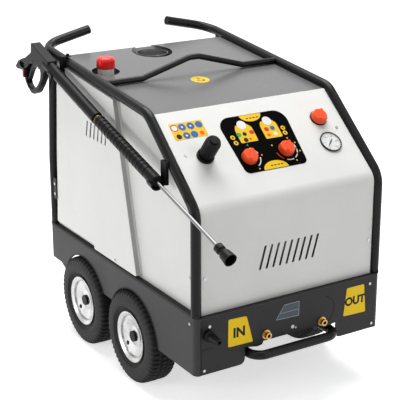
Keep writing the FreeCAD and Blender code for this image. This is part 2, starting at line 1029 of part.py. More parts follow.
def make_electric_box():
    """Closed box on the back of the console with sockets for the knob shafts."""
    top_h = -sheet - seat_gap
    outline = [
        (-box_half_x, box_low_s),
        (box_half_x, box_low_s),
        (box_half_x, box_high_s),
        (-box_half_x, box_high_s),
    ]
    outer = console_plate(outline, 8, top_h - box_depth, top_h)
    cavity = [
        (-box_half_x + 3, box_low_s + 3),
        (box_half_x - 3, box_low_s + 3),
        (box_half_x - 3, box_high_s - 3),
        (-box_half_x + 3, box_high_s - 3),
    ]
    hollow = console_plate(cavity, 5, top_h - box_depth + 3, top_h - 18)
    body = outer.cut(hollow)
    for x, s in ((switch_x, switch_s), (heat_x, heat_s)):
        body = body.cut(console_rod(x, s, -20, 5, knob_shaft_r + run_gap))
    return body


def make_detergent_valve():
    """Black ring under the third knob and its valve body behind the sheet."""
    top = overlay_sheet + 3
    plate_ring = console_rod(detergent_x, detergent_s, 0, top, detergent_ring_r)
    nose = console_rod(detergent_x, detergent_s, -sheet - seat_gap - 30, 0, knob_shaft_r + 0.9)
    block = console_rod(detergent_x, detergent_s, -sheet - seat_gap - 30, -sheet - seat_gap, 16)
    body = fused([plate_ring, nose, block])
    return body.cut(console_rod(detergent_x, detergent_s, -20, 10, knob_shaft_r + run_gap))


def make_pressure_valve():
    """Collar on the console face, stem through it, valve block below."""
    collar = console_rod(pressure_x, pressure_s, 0, 9, pressure_base_r)
    collar = collar.cut(console_rod(pressure_x, pressure_s, 4, 10, pressure_base_r - 4))
    stem = console_rod(pressure_x, pressure_s, -40, 60, pressure_stem_r)
    sleeve = console_rod(pressure_x, pressure_s, -sheet - seat_gap, 2, pressure_stem_r + 3.7)
    block_h = -sheet - seat_gap
    half = 24
    outline = [
        (pressure_x - half, pressure_s - half),
        (pressure_x + half, pressure_s - half),
        (pressure_x + half, pressure_s + half),
        (pressure_x - half, pressure_s + half),
    ]
    block = console_plate(outline, 4, block_h - 70, block_h)
    return fused([collar, stem, sleeve, block])


def make_pressure_knob():
    low = 4 + seat_gap
    start = console_point(pressure_x, pressure_s, low)
    height = pressure_knob_height
    low_r = pressure_knob_low_r
    profile = [
        (0, pressure_stem_r + run_gap),
        (0, low_r),
        (18, low_r),
        (26, pressure_knob_r),
        (height - 16, pressure_knob_r),
        (height - 6, pressure_knob_r - 4),
        (height - 6, 15),
        (height, 14),
        (height, 0),
        (60, 0),
        (60, pressure_stem_r + run_gap),
    ]
    body = spun(profile, start, console_up)
    for i in range(12):
        angle = 2 * math.pi * i / 12
        x = pressure_x + (pressure_knob_r + 1) * math.cos(angle)
        s = pressure_s + (pressure_knob_r + 1) * math.sin(angle)
        body = body.cut(console_rod(x, s, low + 30, low + height - 8, 2.6))
    return body


def make_gauge_case():
    """Body behind the sheet, bezel in front, white dial floor inside the bezel."""
    profile = [
        (-gauge_depth, 0),
        (-gauge_depth, gauge_body_r),
        (0, gauge_body_r),
        (0, gauge_r),
        (6, gauge_r),
        (6, gauge_r - 3),
        (2, gauge_r - 3),
        (2, 2.0 + run_gap),
        (-6, 2.0 + run_gap),
        (-6, 0),
    ]
    return spun(profile, console_point(gauge_x, gauge_s, 0), console_up)


def make_gauge_needle():
    shaft = console_rod(gauge_x, gauge_s, -5.5, 3.6, 2.0)
    outline = [
        (gauge_x + 9, gauge_s + 11.5),
        (gauge_x + 11.5, gauge_s + 9),
        (gauge_x + 2.2, gauge_s - 2.2),
        (gauge_x - 16, gauge_s - 17),
        (gauge_x - 17, gauge_s - 16),
        (gauge_x - 2.2, gauge_s + 2.2),
    ]
    pointer = console_plate(outline, 0, 2.4, 3.2)
    return shaft.fuse(pointer).removeSplitter()


def make_gauge_lens():
    return console_rod(gauge_x, gauge_s, 4.4, 5.8, gauge_r - 3 - run_gap)


# Water ports and gland
def port(x, z, out_r):
    start = V(x, base_front_y + base_sheet + 20, z)
    front = V(0, -1, 0)
    face = 20 + base_sheet
    profile = [
        (0, port_bore_r),
        (0, 16),
        (20, 16),
        (20, out_r),
        (face, out_r),
        (face, port_flange_r),
        (face + port_flange, port_flange_r),
        (face + port_flange, out_r),
        (face + port_flange + port_reach, out_r),
        (face + port_flange + port_reach, port_bore_r),
    ]
    return spun(profile, start, front)


def make_ports():
    return Part.makeCompound([port(inlet_x, inlet_z, port_r), port(outlet_x, outlet_z, port_r)])


def make_gland():
    start = V(gland_x, base_front_y + base_sheet + 8, gland_z)
    reach = 8 + base_sheet
    profile = [
        (0, 5),
        (0, 15),
        (8, 15),
        (8, port_r),
        (reach, port_r),
        (reach, 19),
        (reach + 12, 19),
        (reach + 17, 15),
        (reach + 28, 15),
        (reach + gland_reach, 10),
        (reach + gland_reach, 5),
    ]
    return spun(profile, start, V(0, -1, 0))


# Gun and lance
def from_union(outline):
    return [(joint_y + y, joint_z + z) for y, z in outline]


def gun_outline():
    """Side view of the gun, y and z from the union: body, grip and guard loop."""
    return from_union([
        (342, 132),
        (411, 155),
        (480, 178),
        (484, 141),
        (537, 113),
        (571, 102),
        (581, 79),
        (568, 53),
        (559, 21),
        (536, 0),
        (509, -15),
        (487, -15),
        (461, -4),
        (431, 26),
        (403, 59),
        (390, 86),
        (372, 97),
        (347, 95),
    ])


def gun_window():
    return from_union([
        (429, 99),
        (421, 76),
        (426, 54),
        (442, 34),
        (463, 16),
        (492, 3),
        (524, 2),
        (542, 15),
        (547, 37),
        (550, 67),
        (513, 95),
        (475, 105),
    ])


def make_gun_body():
    outline = gun_outline()
    radii = [4, 60, 5, 15, 40, 8, 8, 15, 25, 20, 15, 15, 30, 30, 30, 15, 6, 4]
    body = side_plate(outline, radii, lance_x - gun_half, lance_x + gun_half)
    window_radii = [8, 15, 20, 30, 25, 15, 12, 10, 30, 12, 10, 8]
    window = side_plate(gun_window(), window_radii, lance_x - 30, lance_x + 30)
    body = body.cut(window)
    low_y = joint_y + 300
    high_y = joint_y + 700
    low_z = joint_z - 100
    loop_low = box(lance_x - 40, lance_x - loop_half, low_y, high_y, low_z, inlet_z0)
    loop_high = box(lance_x + loop_half, lance_x + 40, low_y, high_y, low_z, inlet_z0)
    body = body.cut(loop_low).cut(loop_high)
    barrel = rod(barrel_point(3), barrel_dir, barrel_r, barrel_length)
    body = body.fuse(barrel)
    body = body.cut(rod(lance_point(8), -lance_dir, lance_r + run_gap, 40))
    slot_x0 = lance_x - trigger_half - 1
    slot_x1 = lance_x + trigger_half + 1
    pivot_y = trigger_pivot_y
    pivot_z = trigger_pivot_z
    root_pocket = box(slot_x0, slot_x1, pivot_y - 16, pivot_y + 36, pivot_z - 40, pivot_z + 13)
    blade_slot = box(slot_x0, slot_x1, pivot_y + 40, pivot_y + 90, pivot_z - 81, pivot_z - 20)
    heel_pocket = box(slot_x0, slot_x1, pivot_y + 34, pivot_y + 46, pivot_z - 26, pivot_z - 10)
    body = body.cut(root_pocket).cut(blade_slot).cut(heel_pocket)
    hole = rod(V(lance_x - 30, trigger_pivot_y, trigger_pivot_z), V(1, 0, 0), trigger_pin_r + run_gap, 60)
    body = body.cut(hole)
    latch_hole_x = lance_x - loop_half - 1
    latch_hole = rod(V(latch_hole_x, latch_pivot_y, latch_pivot_z), V(1, 0, 0), latch_pin_r + run_gap, 20)
    body = body.cut(latch_hole)
    swivel_hole = rod(inlet_point(-14), inlet_dir, inlet_stem_r + run_gap, 40)
    swivel_space = rod(inlet_point(19 - seat_gap), inlet_dir, inlet_r + 1, 60)
    return body.cut(swivel_hole).cut(swivel_space).removeSplitter()


def inlet_point(t):
    return V(lance_x, inlet_y, inlet_z0) + inlet_dir * t


def make_trigger():
    """Curved lever in front of the grip, hung on its pin at the top of the window."""
    outline = [
        (453, 121),
        (475, 121),
        (493, 97),
        (513, 77),
        (531, 51),
        (538, 35),
        (532, 30),
        (523, 43),
        (505, 67),
        (487, 84),
        (467, 98),
        (453, 105),
    ]
    radii = [5, 6, 12, 20, 25, 2, 2, 25, 20, 20, 10, 5]
    half = trigger_half - seat_gap
    body = side_plate(from_union(outline), radii, lance_x - half, lance_x + half)
    pin = rod(
        V(lance_x - gun_half, trigger_pivot_y, trigger_pivot_z),
        V(1, 0, 0),
        trigger_pin_r,
        2 * gun_half,
    )
    return body.fuse(pin).removeSplitter()


def make_safety_latch():
    """Small lever on the side of the grip that swings in behind the trigger."""
    x = lance_x - loop_half
    pin = rod(V(x, latch_pivot_y, latch_pivot_z), V(1, 0, 0), latch_pin_r, 14)
    outline = [
        (latch_pivot_y - 8, latch_pivot_z + 14),
        (latch_pivot_y + 7, latch_pivot_z + 6),
        (latch_pivot_y + 7, latch_pivot_z - 22),
        (latch_pivot_y - 6, latch_pivot_z - 26),
    ]
    pad = side_plate(outline, 5, x - seat_gap - latch_sheet, x - seat_gap)
    neck = rod(V(x - seat_gap - 1, latch_pivot_y, latch_pivot_z), V(1, 0, 0), latch_pin_r, 4)
    return fused([pad, pin, neck])


def make_gun_inlet():
    """Swivel union for the hose, turning in the back of the gun."""
    profile = [
        (-12, 0),
        (-12, inlet_stem_r),
        (19, inlet_stem_r),
        (19, 13),
        (30, 13),
        (30, inlet_r),
        (58, inlet_r),
        (58, 11),
        (inlet_length, 11),
        (inlet_length, 6),
        (40, 6),
        (40, 0),
    ]
    return spun(profile, inlet_point(0), inlet_dir)


def make_lance_nut():
    inner_r = lance_r + run_gap
    profile = [
        (2, inner_r),
        (2, nut_r - 2),
        (4, nut_r),
        (nut_length, nut_r),
        (nut_length + 2, nut_r - 2),
        (nut_length + 2, inner_r),
    ]
    return spun(profile, joint_point, lance_dir)


def make_lance_tube():
    return rod(lance_point(-26), lance_dir, lance_r, nozzle_start + 26 + 16)


def make_lance_grip():
    inner_r = lance_r + run_gap
    end_land = 40.0
    start = lance_grip_start
    stop = start + lance_grip_length
    pitch = (lance_grip_length - 12 - end_land) / lance_grip_ribs
    profile = [(start, inner_r), (start, lance_grip_r - 2), (start + 4, lance_grip_r)]
    for i in range(lance_grip_ribs):
        at = start + 12 + pitch * i
        profile.append((at, lance_grip_r))
        profile.append((at + 2, lance_grip_r - lance_grip_groove))
        profile.append((at + 6, lance_grip_r - lance_grip_groove))
        profile.append((at + 8, lance_grip_r))
    profile.append((stop - 4, lance_grip_r))
    profile.append((stop, lance_grip_r - 4))
    profile.append((stop, inner_r))
    return spun(profile, joint_point, lance_dir)


def make_nozzle():
    """Nozzle holder with its hex and the guard cup in one turned piece."""
    start = nozzle_start
    mouth = lance_length
    profile = [
        (start, lance_r + run_gap),
        (start, 9),
        (start + 6, nozzle_body_r),
        (start + 24, nozzle_body_r),
        (start + 29, 11),
        (mouth - cup_length, 12),
        (mouth - cup_length + 12, cup_mouth_r - 3),
        (mouth, cup_mouth_r),
        (mouth, cup_mouth_r - cup_wall),
        (mouth - cup_length + 16, cup_mouth_r - cup_wall - 3),
        (mouth - cup_length + 12, 7),
        (mouth - cup_length + 22, 5),
        (mouth - cup_length + 22, 0),
        (start + 20, 0),
        (start + 20, lance_r + run_gap),
    ]
    return spun(profile, joint_point, lance_dir)


def cradle(point, direction, held_r):
    """U open at the top, square to the direction of the bar that lies in it."""
    outer_r = held_r + seat_gap + cradle_wall
    inner_r = held_r + seat_gap
    start = point - direction * (cradle_length / 2)
    side = V(1, 0, 0)
    up = side.cross(direction)
    if up.z < 0:
        up = -up
    body = ring(start, direction, outer_r, inner_r, cradle_length)
    corner = start - side * (outer_r + 2)
    lid = Part.makeBox(2 * outer_r + 4, cradle_length, outer_r + 4)
    frame = FreeCAD.Rotation(side, direction, up, "XYZ")
    lid.Placement = FreeCAD.Placement(corner, frame)
    if lid.BoundBox.ZMax < point.z:
        raise ValueError("cradle lid lies below the bar")
    return body.cut(lid)


def make_front_holder():
    point = lance_point(front_cradle_at)
    hook = cradle(point, -lance_dir, lance_grip_r)
    plate_x = -frame_x - tube_r - seat_gap
    outer_x = lance_x + lance_grip_r + seat_gap
    low = point.z - 12
    tube_slope = (fold_high_z - fold_low_z) / (fold_high_y - post_front_y)
    high = fold_low_z + tube_slope * (point.y - post_front_y) - 2
    upright = box(outer_x, plate_x, point.y - 24, point.y + 8, low, high)
    return hook, upright


def make_rear_holder():
    point = barrel_point(rear_cradle_at)
    hook = cradle(point, barrel_dir, barrel_r)
    plate_x = -frame_x - tube_r - seat_gap
    outer_x = lance_x + barrel_r + seat_gap
    top = rail_z(point.y) + tube_r
    low_y = point.y - 12
    high_y = point.y + 12
    clear_z = rail_z(high_y) - tube_r + 1.5
    upright = box(outer_x + 1, plate_x, low_y, high_y, clear_z, top + 7)
    lower = box(outer_x + 1, -cover_x - sheet / 2 - 1, low_y, high_y, point.z - 16, clear_z + 5)
    tab = box(outer_x + 1, -frame_x + 8, low_y, high_y, top + 4, top + 7)
    bolt = rod(V(-frame_x, point.y, top + 4), V(0, 0, 1), 6, 9)
    return hook, upright, lower, tab, bolt


def make_lance_holders():
    front = fused(list(make_front_holder()))
    rear = fused(list(make_rear_holder()))
    slack = seat_gap
    grip_space = rod(lance_point(300), lance_dir, lance_grip_r + slack, 110)
    barrel_space = rod(barrel_point(200), barrel_dir, barrel_r + slack, 200)
    return Part.makeCompound([front.cut(grip_space), rear.cut(barrel_space)])


# Inside the cabinet
def make_boiler():
    start = V(0, boiler_y, boiler_low_z)
    height = boiler_high_z - boiler_low_z
    body = rod(start, V(0, 0, 1), boiler_r, height)
    inner = rod(start + V(0, 0, boiler_wall), V(0, 0, 1), boiler_r - boiler_wall, height - 2 * boiler_wall)
    foot_start = V(0, boiler_y, deck_top_z)
    foot_height = boiler_low_z - deck_top_z
    feet = ring(foot_start, V(0, 0, 1), boiler_r - 10, boiler_r - 30, foot_height)
    body = body.cut(inner).fuse(feet)
    body = body.cut(rod(V(0, flue_y, boiler_high_z - 10), V(0, 0, 1), flue_r - flue_wall, 20))
    tube_start = V(0, boiler_y - boiler_r - 20, burner_z)
    body = body.cut(rod(tube_start, V(0, 1, 0), burner_tube_r + seat_gap, 60))
    return body


def make_flue():
    height = top_z(flue_y) - 4 - boiler_high_z
    start = V(0, flue_y, boiler_high_z)
    return ring(start, V(0, 0, 1), flue_r, flue_r - flue_wall, height)


def make_coil():
    """Heating coil on three posts that stand on the boiler floor."""
    low = boiler_low_z + boiler_wall + 24
    height = coil_pitch * coil_turns
    helix = Part.makeHelix(coil_pitch, height, coil_r)
    helix.translate(V(0, boiler_y, low))
    start = V(coil_r, boiler_y, low)
    climb = coil_pitch / (2 * math.pi * coil_r)
    circle = Part.Wire(Part.makeCircle(coil_tube_r, start, V(0, 1, climb)))
    shell = Part.BRepOffsetAPI.MakePipeShell(helix)
    shell.setFrenetMode(True)
    shell.add(circle)
    shell.build()
    shell.makeSolid()
    return shell.shape()


def make_coil_posts():
    posts = []
    low = boiler_low_z + boiler_wall
    for i in range(3):
        angle = math.radians(60 + 120 * i)
        radius = coil_r - coil_tube_r - 5
        x = radius * math.cos(angle)
        y = boiler_y + radius * math.sin(angle)
        posts.append(rod(V(x, y, low), V(0, 0, 1), 6, coil_pitch * coil_turns))
    return posts


def make_full_coil():
    body = make_coil()
    for post in make_coil_posts():
        body = body.fuse(post)
    return body


def make_tank(side):
    """Moulded tank between the side sheet and the boiler."""
    outer_x = side_x - sheet / 2 - 4
    outline = [
        V(tank_inner_x, tank_low_y, deck_top_z),
        V(outer_x, tank_low_y, deck_top_z),
        V(outer_x, tank_high_y, deck_top_z),
        V(tank_inner_x, tank_high_y, deck_top_z),
    ]
    body = plate(outline, 25, V(0, 0, tank_high_z - deck_top_z))
    return body if side > 0 else mirrored(body)


def neck_top_z():
    return top_z(fuel_y) + 11


def make_fuel_tank():
    body = make_tank(-1)
    neck = rod(V(fuel_x, fuel_y, tank_high_z - 5), V(0, 0, 1), neck_r, neck_top_z() - tank_high_z + 5)
    well = rod(V(fuel_x, fuel_y, tank_high_z - 90), V(0, 0, 1), neck_r - neck_wall, 200)
    return body.fuse(neck).cut(well)


def make_cap_seal():
    start = V(fuel_x, fuel_y, neck_top_z())
    seal = ring(start, V(0, 0, 1), neck_r, neck_r - neck_wall - 4, 3)
    plug_r = neck_r - neck_wall - seat_gap
    skirt = ring(start - V(0, 0, 8), V(0, 0, 1), plug_r, plug_r - 3.7, 11)
    return seal.fuse(skirt)


def make_fuel_cap():
    """Ribbed cap that sits on its seal, with a spigot turning inside the seal."""
    base = neck_top_z() + 3
    start = V(fuel_x, fuel_y, base)
    spigot_r = neck_r - neck_wall - 4 - run_gap
    profile = [
        (-6, 0),
        (-6, spigot_r),
        (0, spigot_r),
        (0, fuel_cap_r),
        (fuel_cap_height - 10, fuel_cap_r),
        (fuel_cap_height - 3, fuel_cap_r - 4),
        (fuel_cap_height, fuel_cap_r - 12),
        (fuel_cap_height, 0),
    ]
    body = spun(profile, start, V(0, 0, 1))
    for i in range(18):
        angle = 2 * math.pi * i / 18
        x = fuel_x + (fuel_cap_r + 1.2) * math.cos(angle)
        y = fuel_y + (fuel_cap_r + 1.2) * math.sin(angle)
        body = body.cut(rod(V(x, y, base - 1), V(0, 0, 1), 2.6, fuel_cap_height - 8))
    return body


def motor_z():
    return deck_top_z + motor_foot + motor_r


def make_motor():
    """Motor housing with end shields, feet and terminal box."""
    z = motor_z()
    start = V(motor_low_x, motor_y, z)
    length = motor_high_x - motor_low_x
    body = rod(start, V(1, 0, 0), motor_r, length)
    hollow = rod(start + V(8, 0, 0), V(1, 0, 0), motor_r - 22, length - 16)
    fan_space = rod(start + V(length - 45, 0, 0), V(1, 0, 0), motor_r - 4, 40)
    foot_low_x = motor_low_x + 20
    foot_high_x = motor_high_x - 60
    foot_top_z = deck_top_z + motor_foot
    feet = box(foot_low_x, foot_high_x, motor_y - 80, motor_y + 80, deck_top_z, foot_top_z)
    web = box(foot_low_x, foot_high_x, motor_y - 40, motor_y + 40, deck_top_z, z - motor_r + 30)
    lid_z = z + motor_r
    terminal = box(motor_low_x + 60, motor_low_x + 160, motor_y - 45, motor_y + 45, lid_z - 20, lid_z + 40)
    body = fused([body, feet, web, terminal])
    body = body.cut(hollow).cut(fan_space)
    bore = rod(start - V(5, 0, 0), V(1, 0, 0), motor_shaft_r + run_gap, 30)
    tail = rod(V(motor_high_x - 60, motor_y, z), V(1, 0, 0), motor_shaft_r + run_gap, 57)
    return body.cut(bore).cut(tail)


def make_motor_shaft():
    z = motor_z()
    start = V(motor_low_x - 40, motor_y, z)
    length = motor_high_x - 6 - motor_low_x + 40
    shaft = rod(start, V(1, 0, 0), motor_shaft_r, length)
    rotor = rod(V(motor_low_x + 30, motor_y, z), V(1, 0, 0), motor_r - 24, 160)
    hub = rod(V(motor_high_x - 40, motor_y, z), V(1, 0, 0), 30, 30)
    blades = [shaft, rotor, hub]
    for i in range(6):
        blade = box(motor_high_x - 38, motor_high_x - 14, motor_y - 2, motor_y + 2, z + 20, z + motor_r - 10)
        blade.rotate(V(0, motor_y, z), V(1, 0, 0), 60 * i)
        blades.append(blade)
    return fused(blades)


def make_pump():
    """Pump block on the motor's shaft end, with its manifold and its own foot."""
    z = motor_z()
    high = motor_low_x - seat_gap
    low = high - pump_length
    crank = box(low + 80, high, motor_y - 70, motor_y + 70, z - 75, z + 75)
    manifold = box(low, low + 80, motor_y - 55, motor_y + 55, z - 55, z + 55)
    foot = box(low + 90, high - 10, motor_y - 70, motor_y + 70, deck_top_z, z - 70)
    outlet = rod(V(low + 40, motor_y, z + 50), V(0, 0, 1), 14, 50)
    body = fused([crank, manifold, foot, outlet])
    return body.cut(rod(V(high - 45, motor_y, z), V(1, 0, 0), motor_shaft_r + run_gap, 50))


def make_burner():
    """Fan scroll in front of the boiler with the blast tube that enters it."""
    high_y = boiler_y - boiler_r - burner_gap
    width = burner_width
    x0 = -width / 2
    centre_y = high_y - burner_r
    scroll = rod(V(x0, centre_y, burner_z), V(1, 0, 0), burner_r, width)
    hollow = rod(V(x0 + 3, centre_y, burner_z), V(1, 0, 0), burner_r - 3, width - 6)
    motor = rod(V(x0 - 90, centre_y, burner_z), V(1, 0, 0), 45, 90)
    motor_hollow = rod(V(x0 - 86, centre_y, burner_z), V(1, 0, 0), 38, 82)
    tube_length = burner_r + burner_gap + 22
    tube = rod(V(0, centre_y, burner_z), V(0, 1, 0), burner_tube_r, tube_length)
    tube_bore = rod(V(0, centre_y, burner_z), V(0, 1, 0), burner_tube_r - 2, tube_length + 5)
    collar_y = boiler_y - boiler_r - 14
    collar = rod(V(0, collar_y, burner_z), V(0, 1, 0), burner_tube_r + 22, 26)
    shell_space = rod(V(0, boiler_y, burner_z - 100), V(0, 0, 1), boiler_r + seat_gap, 200)
    collar = collar.cut(shell_space)
    body = fused([scroll, motor, tube, collar])
    body = body.cut(hollow).cut(motor_hollow).cut(tube_bore)
    body = body.cut(rod(V(x0 - 100, centre_y, burner_z), V(1, 0, 0), burner_shaft_r + run_gap, 110))
    intake = rod(V(width / 2 - 5, centre_y, burner_z), V(1, 0, 0), 36, 10)
    return body.cut(intake)


def make_burner_fan():
    width = burner_width
    x0 = -width / 2
    centre_y = boiler_y - boiler_r - burner_gap - burner_r
    shaft = rod(V(x0 - 95, centre_y, burner_z), V(1, 0, 0), burner_shaft_r, 95 + 30)
    rotor = rod(V(x0 - 78, centre_y, burner_z), V(1, 0, 0), 34, 64)
    disc = rod(V(x0 + 10, centre_y, burner_z), V(1, 0, 0), burner_r - 16, 3)
    pieces = [shaft, rotor, disc]
    for i in range(12):
        blade = box(
            x0 + 12,
            width / 2 - 12,
            centre_y - 1.5,
            centre_y + 1.5,
            burner_z + burner_r - 34,
            burner_z + burner_r - 17,
        )
        blade.rotate(V(0, centre_y, burner_z), V(1, 0, 0), 30 * i)
        pieces.append(blade)
    return fused(pieces)


def wheel_parts():
    parts = {}
    for end, y in (("front", axle_front_y), ("rear", axle_rear_y)):
        for name, side in (("left", -1), ("right", 1)):
            x = side * wheel_x
            parts[end + "_" + name + "_tyre"] = make_tyre(x, y)
            parts[end + "_" + name + "_rim"] = make_rim(x, y, side)
    return parts


def all_parts():
    keepout = frame_keepout()
    frame = make_frame()
    parts = {
        "chassis_deck": make_deck(),
        "base_skirt": make_skirt(),
        "front_plate": make_front_plate(),
        "base_seal": make_seal(keepout),
        "left_frame": mirrored(frame),
        "right_frame": frame,
        "handle_plugs": make_handle_plugs(),
        "lifting_bar": make_lifting_bar(keepout),
        "pull_handle": make_pull_handle(),
        "axles": make_axles(),
        "axle_brackets": make_brackets(),
        "axle_caps": make_axle_caps(),
        "front_panel": make_front_panel(),
        "top_panel": make_top_panel(keepout),
        "left_side_panel": make_left_side_panel(keepout),
        "left_cover": make_left_cover(),
        "right_side_panel": make_right_side_panel(keepout),
        "rear_panel": make_rear_panel(keepout),
        "panel_screws": make_screws(),
        "control_overlay": make_overlay(),
        "switch_knob": make_knob(switch_x, switch_s, overlay_sheet),
        "heat_knob": make_knob(heat_x, heat_s, overlay_sheet),
        "detergent_knob": make_detergent_knob(),
        "pressure_knob": make_pressure_knob(),
        "console_valves": Part.makeCompound([make_pressure_valve(), make_detergent_valve()]),
        "gauge_case": make_gauge_case(),
        "gauge_needle": make_gauge_needle(),
        "gauge_lens": make_gauge_lens(),
        "electric_box": make_electric_box(),
        "water_ports": make_ports(),
        "cable_gland": make_gland(),
        "gun_body": make_gun_body(),
        "gun_trigger": make_trigger(),
        "safety_latch": make_safety_latch(),
        "gun_inlet": make_gun_inlet(),
        "lance_nut": make_lance_nut(),
        "lance_tube": make_lance_tube(),
        "lance_grip": make_lance_grip(),
        "nozzle": make_nozzle(),
        "lance_holders": make_lance_holders(),
        "boiler_shell": make_boiler(),
        "flue_pipe": make_flue(),
        "boiler_coil": make_full_coil(),
        "fuel_tank": make_fuel_tank(),
        "cap_seal": make_cap_seal(),
        "fuel_cap": make_fuel_cap(),
        "water_tank": make_tank(1),
        "pump_motor": make_motor(),
        "motor_shaft": make_motor_shaft(),
        "pump_head": make_pump(),
        "burner_housing": make_burner(),
        "burner_fan": make_burner_fan(),
    }
    parts.update(wheel_parts())
    return parts


def main():
    os.makedirs("parts", exist_ok=True)
    parts = all_parts()
    for name, shape in parts.items():
        shape.exportStep("parts/" + name + ".step")
        solids = len(shape.Solids)
        print(name, "solids", solids, "volume", round(shape.Volume / 1000.0, 2), "valid", shape.isValid())
    print("nodes", len(parts))


main()
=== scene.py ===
import json
import math

import bmesh
import bpy
from mathutils import Matrix, Vector


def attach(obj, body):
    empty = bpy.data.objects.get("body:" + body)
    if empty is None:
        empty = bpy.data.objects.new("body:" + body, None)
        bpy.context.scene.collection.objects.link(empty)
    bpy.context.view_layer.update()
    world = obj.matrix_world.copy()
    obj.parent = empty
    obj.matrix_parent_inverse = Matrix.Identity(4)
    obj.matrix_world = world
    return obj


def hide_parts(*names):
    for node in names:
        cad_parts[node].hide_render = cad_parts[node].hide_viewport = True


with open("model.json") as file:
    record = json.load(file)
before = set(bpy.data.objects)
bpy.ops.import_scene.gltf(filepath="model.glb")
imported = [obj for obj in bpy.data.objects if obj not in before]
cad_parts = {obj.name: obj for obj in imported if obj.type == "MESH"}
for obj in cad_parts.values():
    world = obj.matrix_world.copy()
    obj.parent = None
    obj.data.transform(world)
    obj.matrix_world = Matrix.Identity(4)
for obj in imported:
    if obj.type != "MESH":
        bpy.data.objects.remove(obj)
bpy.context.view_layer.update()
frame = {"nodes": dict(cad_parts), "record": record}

scene = bpy.context.scene
print("stage: frame loaded,", len(frame["nodes"]), "nodes")

# faces of the machine that flat pieces lie on, in metres
consoleSheet = {"lowY": -0.490, "lowZ": 0.733, "highY": -0.204, "highZ": 0.971}
topSheet = {"startY": -0.204, "startZ": 0.969, "rise": 0.106}
coverFront = {"lowY": -0.138, "lowZ": 0.399, "slope": 0.239}
basePlateY = -0.510
leftCoverX = -0.3745

consoleRise = consoleSheet["highZ"] - consoleSheet["lowZ"]
consoleRun = consoleSheet["highY"] - consoleSheet["lowY"]
consoleAngle = math.atan2(consoleRise, consoleRun)
consoleUp = Vector((0, -math.sin(consoleAngle), math.cos(consoleAngle)))
consoleSlope = Vector((0, math.cos(consoleAngle), math.sin(consoleAngle)))
topUp = Vector((0, -topSheet["rise"], 1)).normalized()


def onConsole(x, s, h):  # s runs up the slope, h stands off it
    start = Vector((x, consoleSheet["lowY"], consoleSheet["lowZ"]))
    return start + consoleSlope * s + consoleUp * h


def onBaseFront(x, z, h):
    return Vector((x, basePlateY - h, z))


def onCoverFront(x, z, h):
    y = coverFront["lowY"] + coverFront["slope"] * (z - coverFront["lowZ"])
    return Vector((x, y - h, z))


def onLeftSide(y, z, h):
    return Vector((leftCoverX - h, y, z))


def onTop(x, y, h):
    z = topSheet["startZ"] + topSheet["rise"] * (y - topSheet["startY"])
    return Vector((x, y, z)) + topUp * h


# camera
cameraSettings = {
    "place": (-2.161, -3.4357, 1.9493),
    "yaw": 31.717,
    "pitch": 18.821,
    "roll": -0.131,
    "lens": 108.64,
    "sensor": 36.0,
}


def makeCamera(settings):
    data = bpy.data.cameras.new("camera")
    data.lens = settings["lens"]
    data.sensor_width = settings["sensor"]
    data.sensor_fit = "HORIZONTAL"
    camera = bpy.data.objects.new("camera", data)
    scene.collection.objects.link(camera)
    yaw = math.radians(settings["yaw"])
    pitch = math.radians(settings["pitch"])
    level = math.cos(pitch)
    ahead = Vector((math.sin(yaw) * level, math.cos(yaw) * level, -math.sin(pitch)))
    right = Vector((math.cos(yaw), -math.sin(yaw), 0))
    up = right.cross(ahead)
    turn = Matrix((right, up, -ahead)).transposed().to_4x4()
    roll = Matrix.Rotation(math.radians(settings["roll"]), 4, "Z")
    camera.matrix_world = Matrix.Translation(settings["place"]) @ turn @ roll
    scene.camera = camera


makeCamera(cameraSettings)
scene.view_settings.view_transform = "Standard"
print("stage: camera")

# grain of the paint, wear on edges and dust near the floor, each a shader node group
grainLook = {"scale": 400.0, "cloudScale": 6.0, "detail": 3.0, "cloudDetail": 4.0}
wearLook = {
    "width": 0.0015,
    "amount": 0.4,
    "samples": 4,
    "start": 0.96,
    "gain": 60.0,
    "noiseScale": 45.0,
    "noiseCut": 0.48,
}
dustLook = {
    "amount": 0.15,
    "fadeHeight": 0.35,
    "noiseScale": 22.0,
    "noiseDetail": 6.0,
    "color": (0.20, 0.19, 0.17),
}


def newGroup(name, inputs, outputs):
    group = bpy.data.node_groups.new(name, "ShaderNodeTree")
    for label, value in inputs:
        socket = group.interface.new_socket(label, in_out="INPUT", socket_type="NodeSocketFloat")
        socket.default_value = value
    for label in outputs:
        group.interface.new_socket(label, in_out="OUTPUT", socket_type="NodeSocketFloat")
    return group, group.nodes.new("NodeGroupInput"), group.nodes.new("NodeGroupOutput")


def mathNode(tree, operation, first, second=None, clamp=False):
    node = tree.nodes.new("ShaderNodeMath")
    node.operation = operation
    node.use_clamp = clamp
    for index, value in enumerate((first, second)):
        if value is None:
            continue
        if isinstance(value, (int, float)):
            node.inputs[index].default_value = value
        else:
            tree.links.new(value, node.inputs[index])
    return node.outputs[0]


def makeGrainGroup(look):
    inputs = [("Scale", look["scale"]), ("Cloud scale", look["cloudScale"])]
    group, entry, leave = newGroup("paintGrain", inputs, ["Height", "Cloud"])
    coords = group.nodes.new("ShaderNodeTexCoord")
    fine = group.nodes.new("ShaderNodeTexNoise")
    fine.inputs["Detail"].default_value = look["detail"]
    cloud = group.nodes.new("ShaderNodeTexNoise")
    cloud.inputs["Detail"].default_value = look["cloudDetail"]
    for node, label in ((fine, "Scale"), (cloud, "Cloud scale")):
        group.links.new(coords.outputs["Object"], node.inputs["Vector"])
        group.links.new(entry.outputs[label], node.inputs["Scale"])
    group.links.new(fine.outputs["Fac"], leave.inputs["Height"])
    group.links.new(cloud.outputs["Fac"], leave.inputs["Cloud"])
    return group


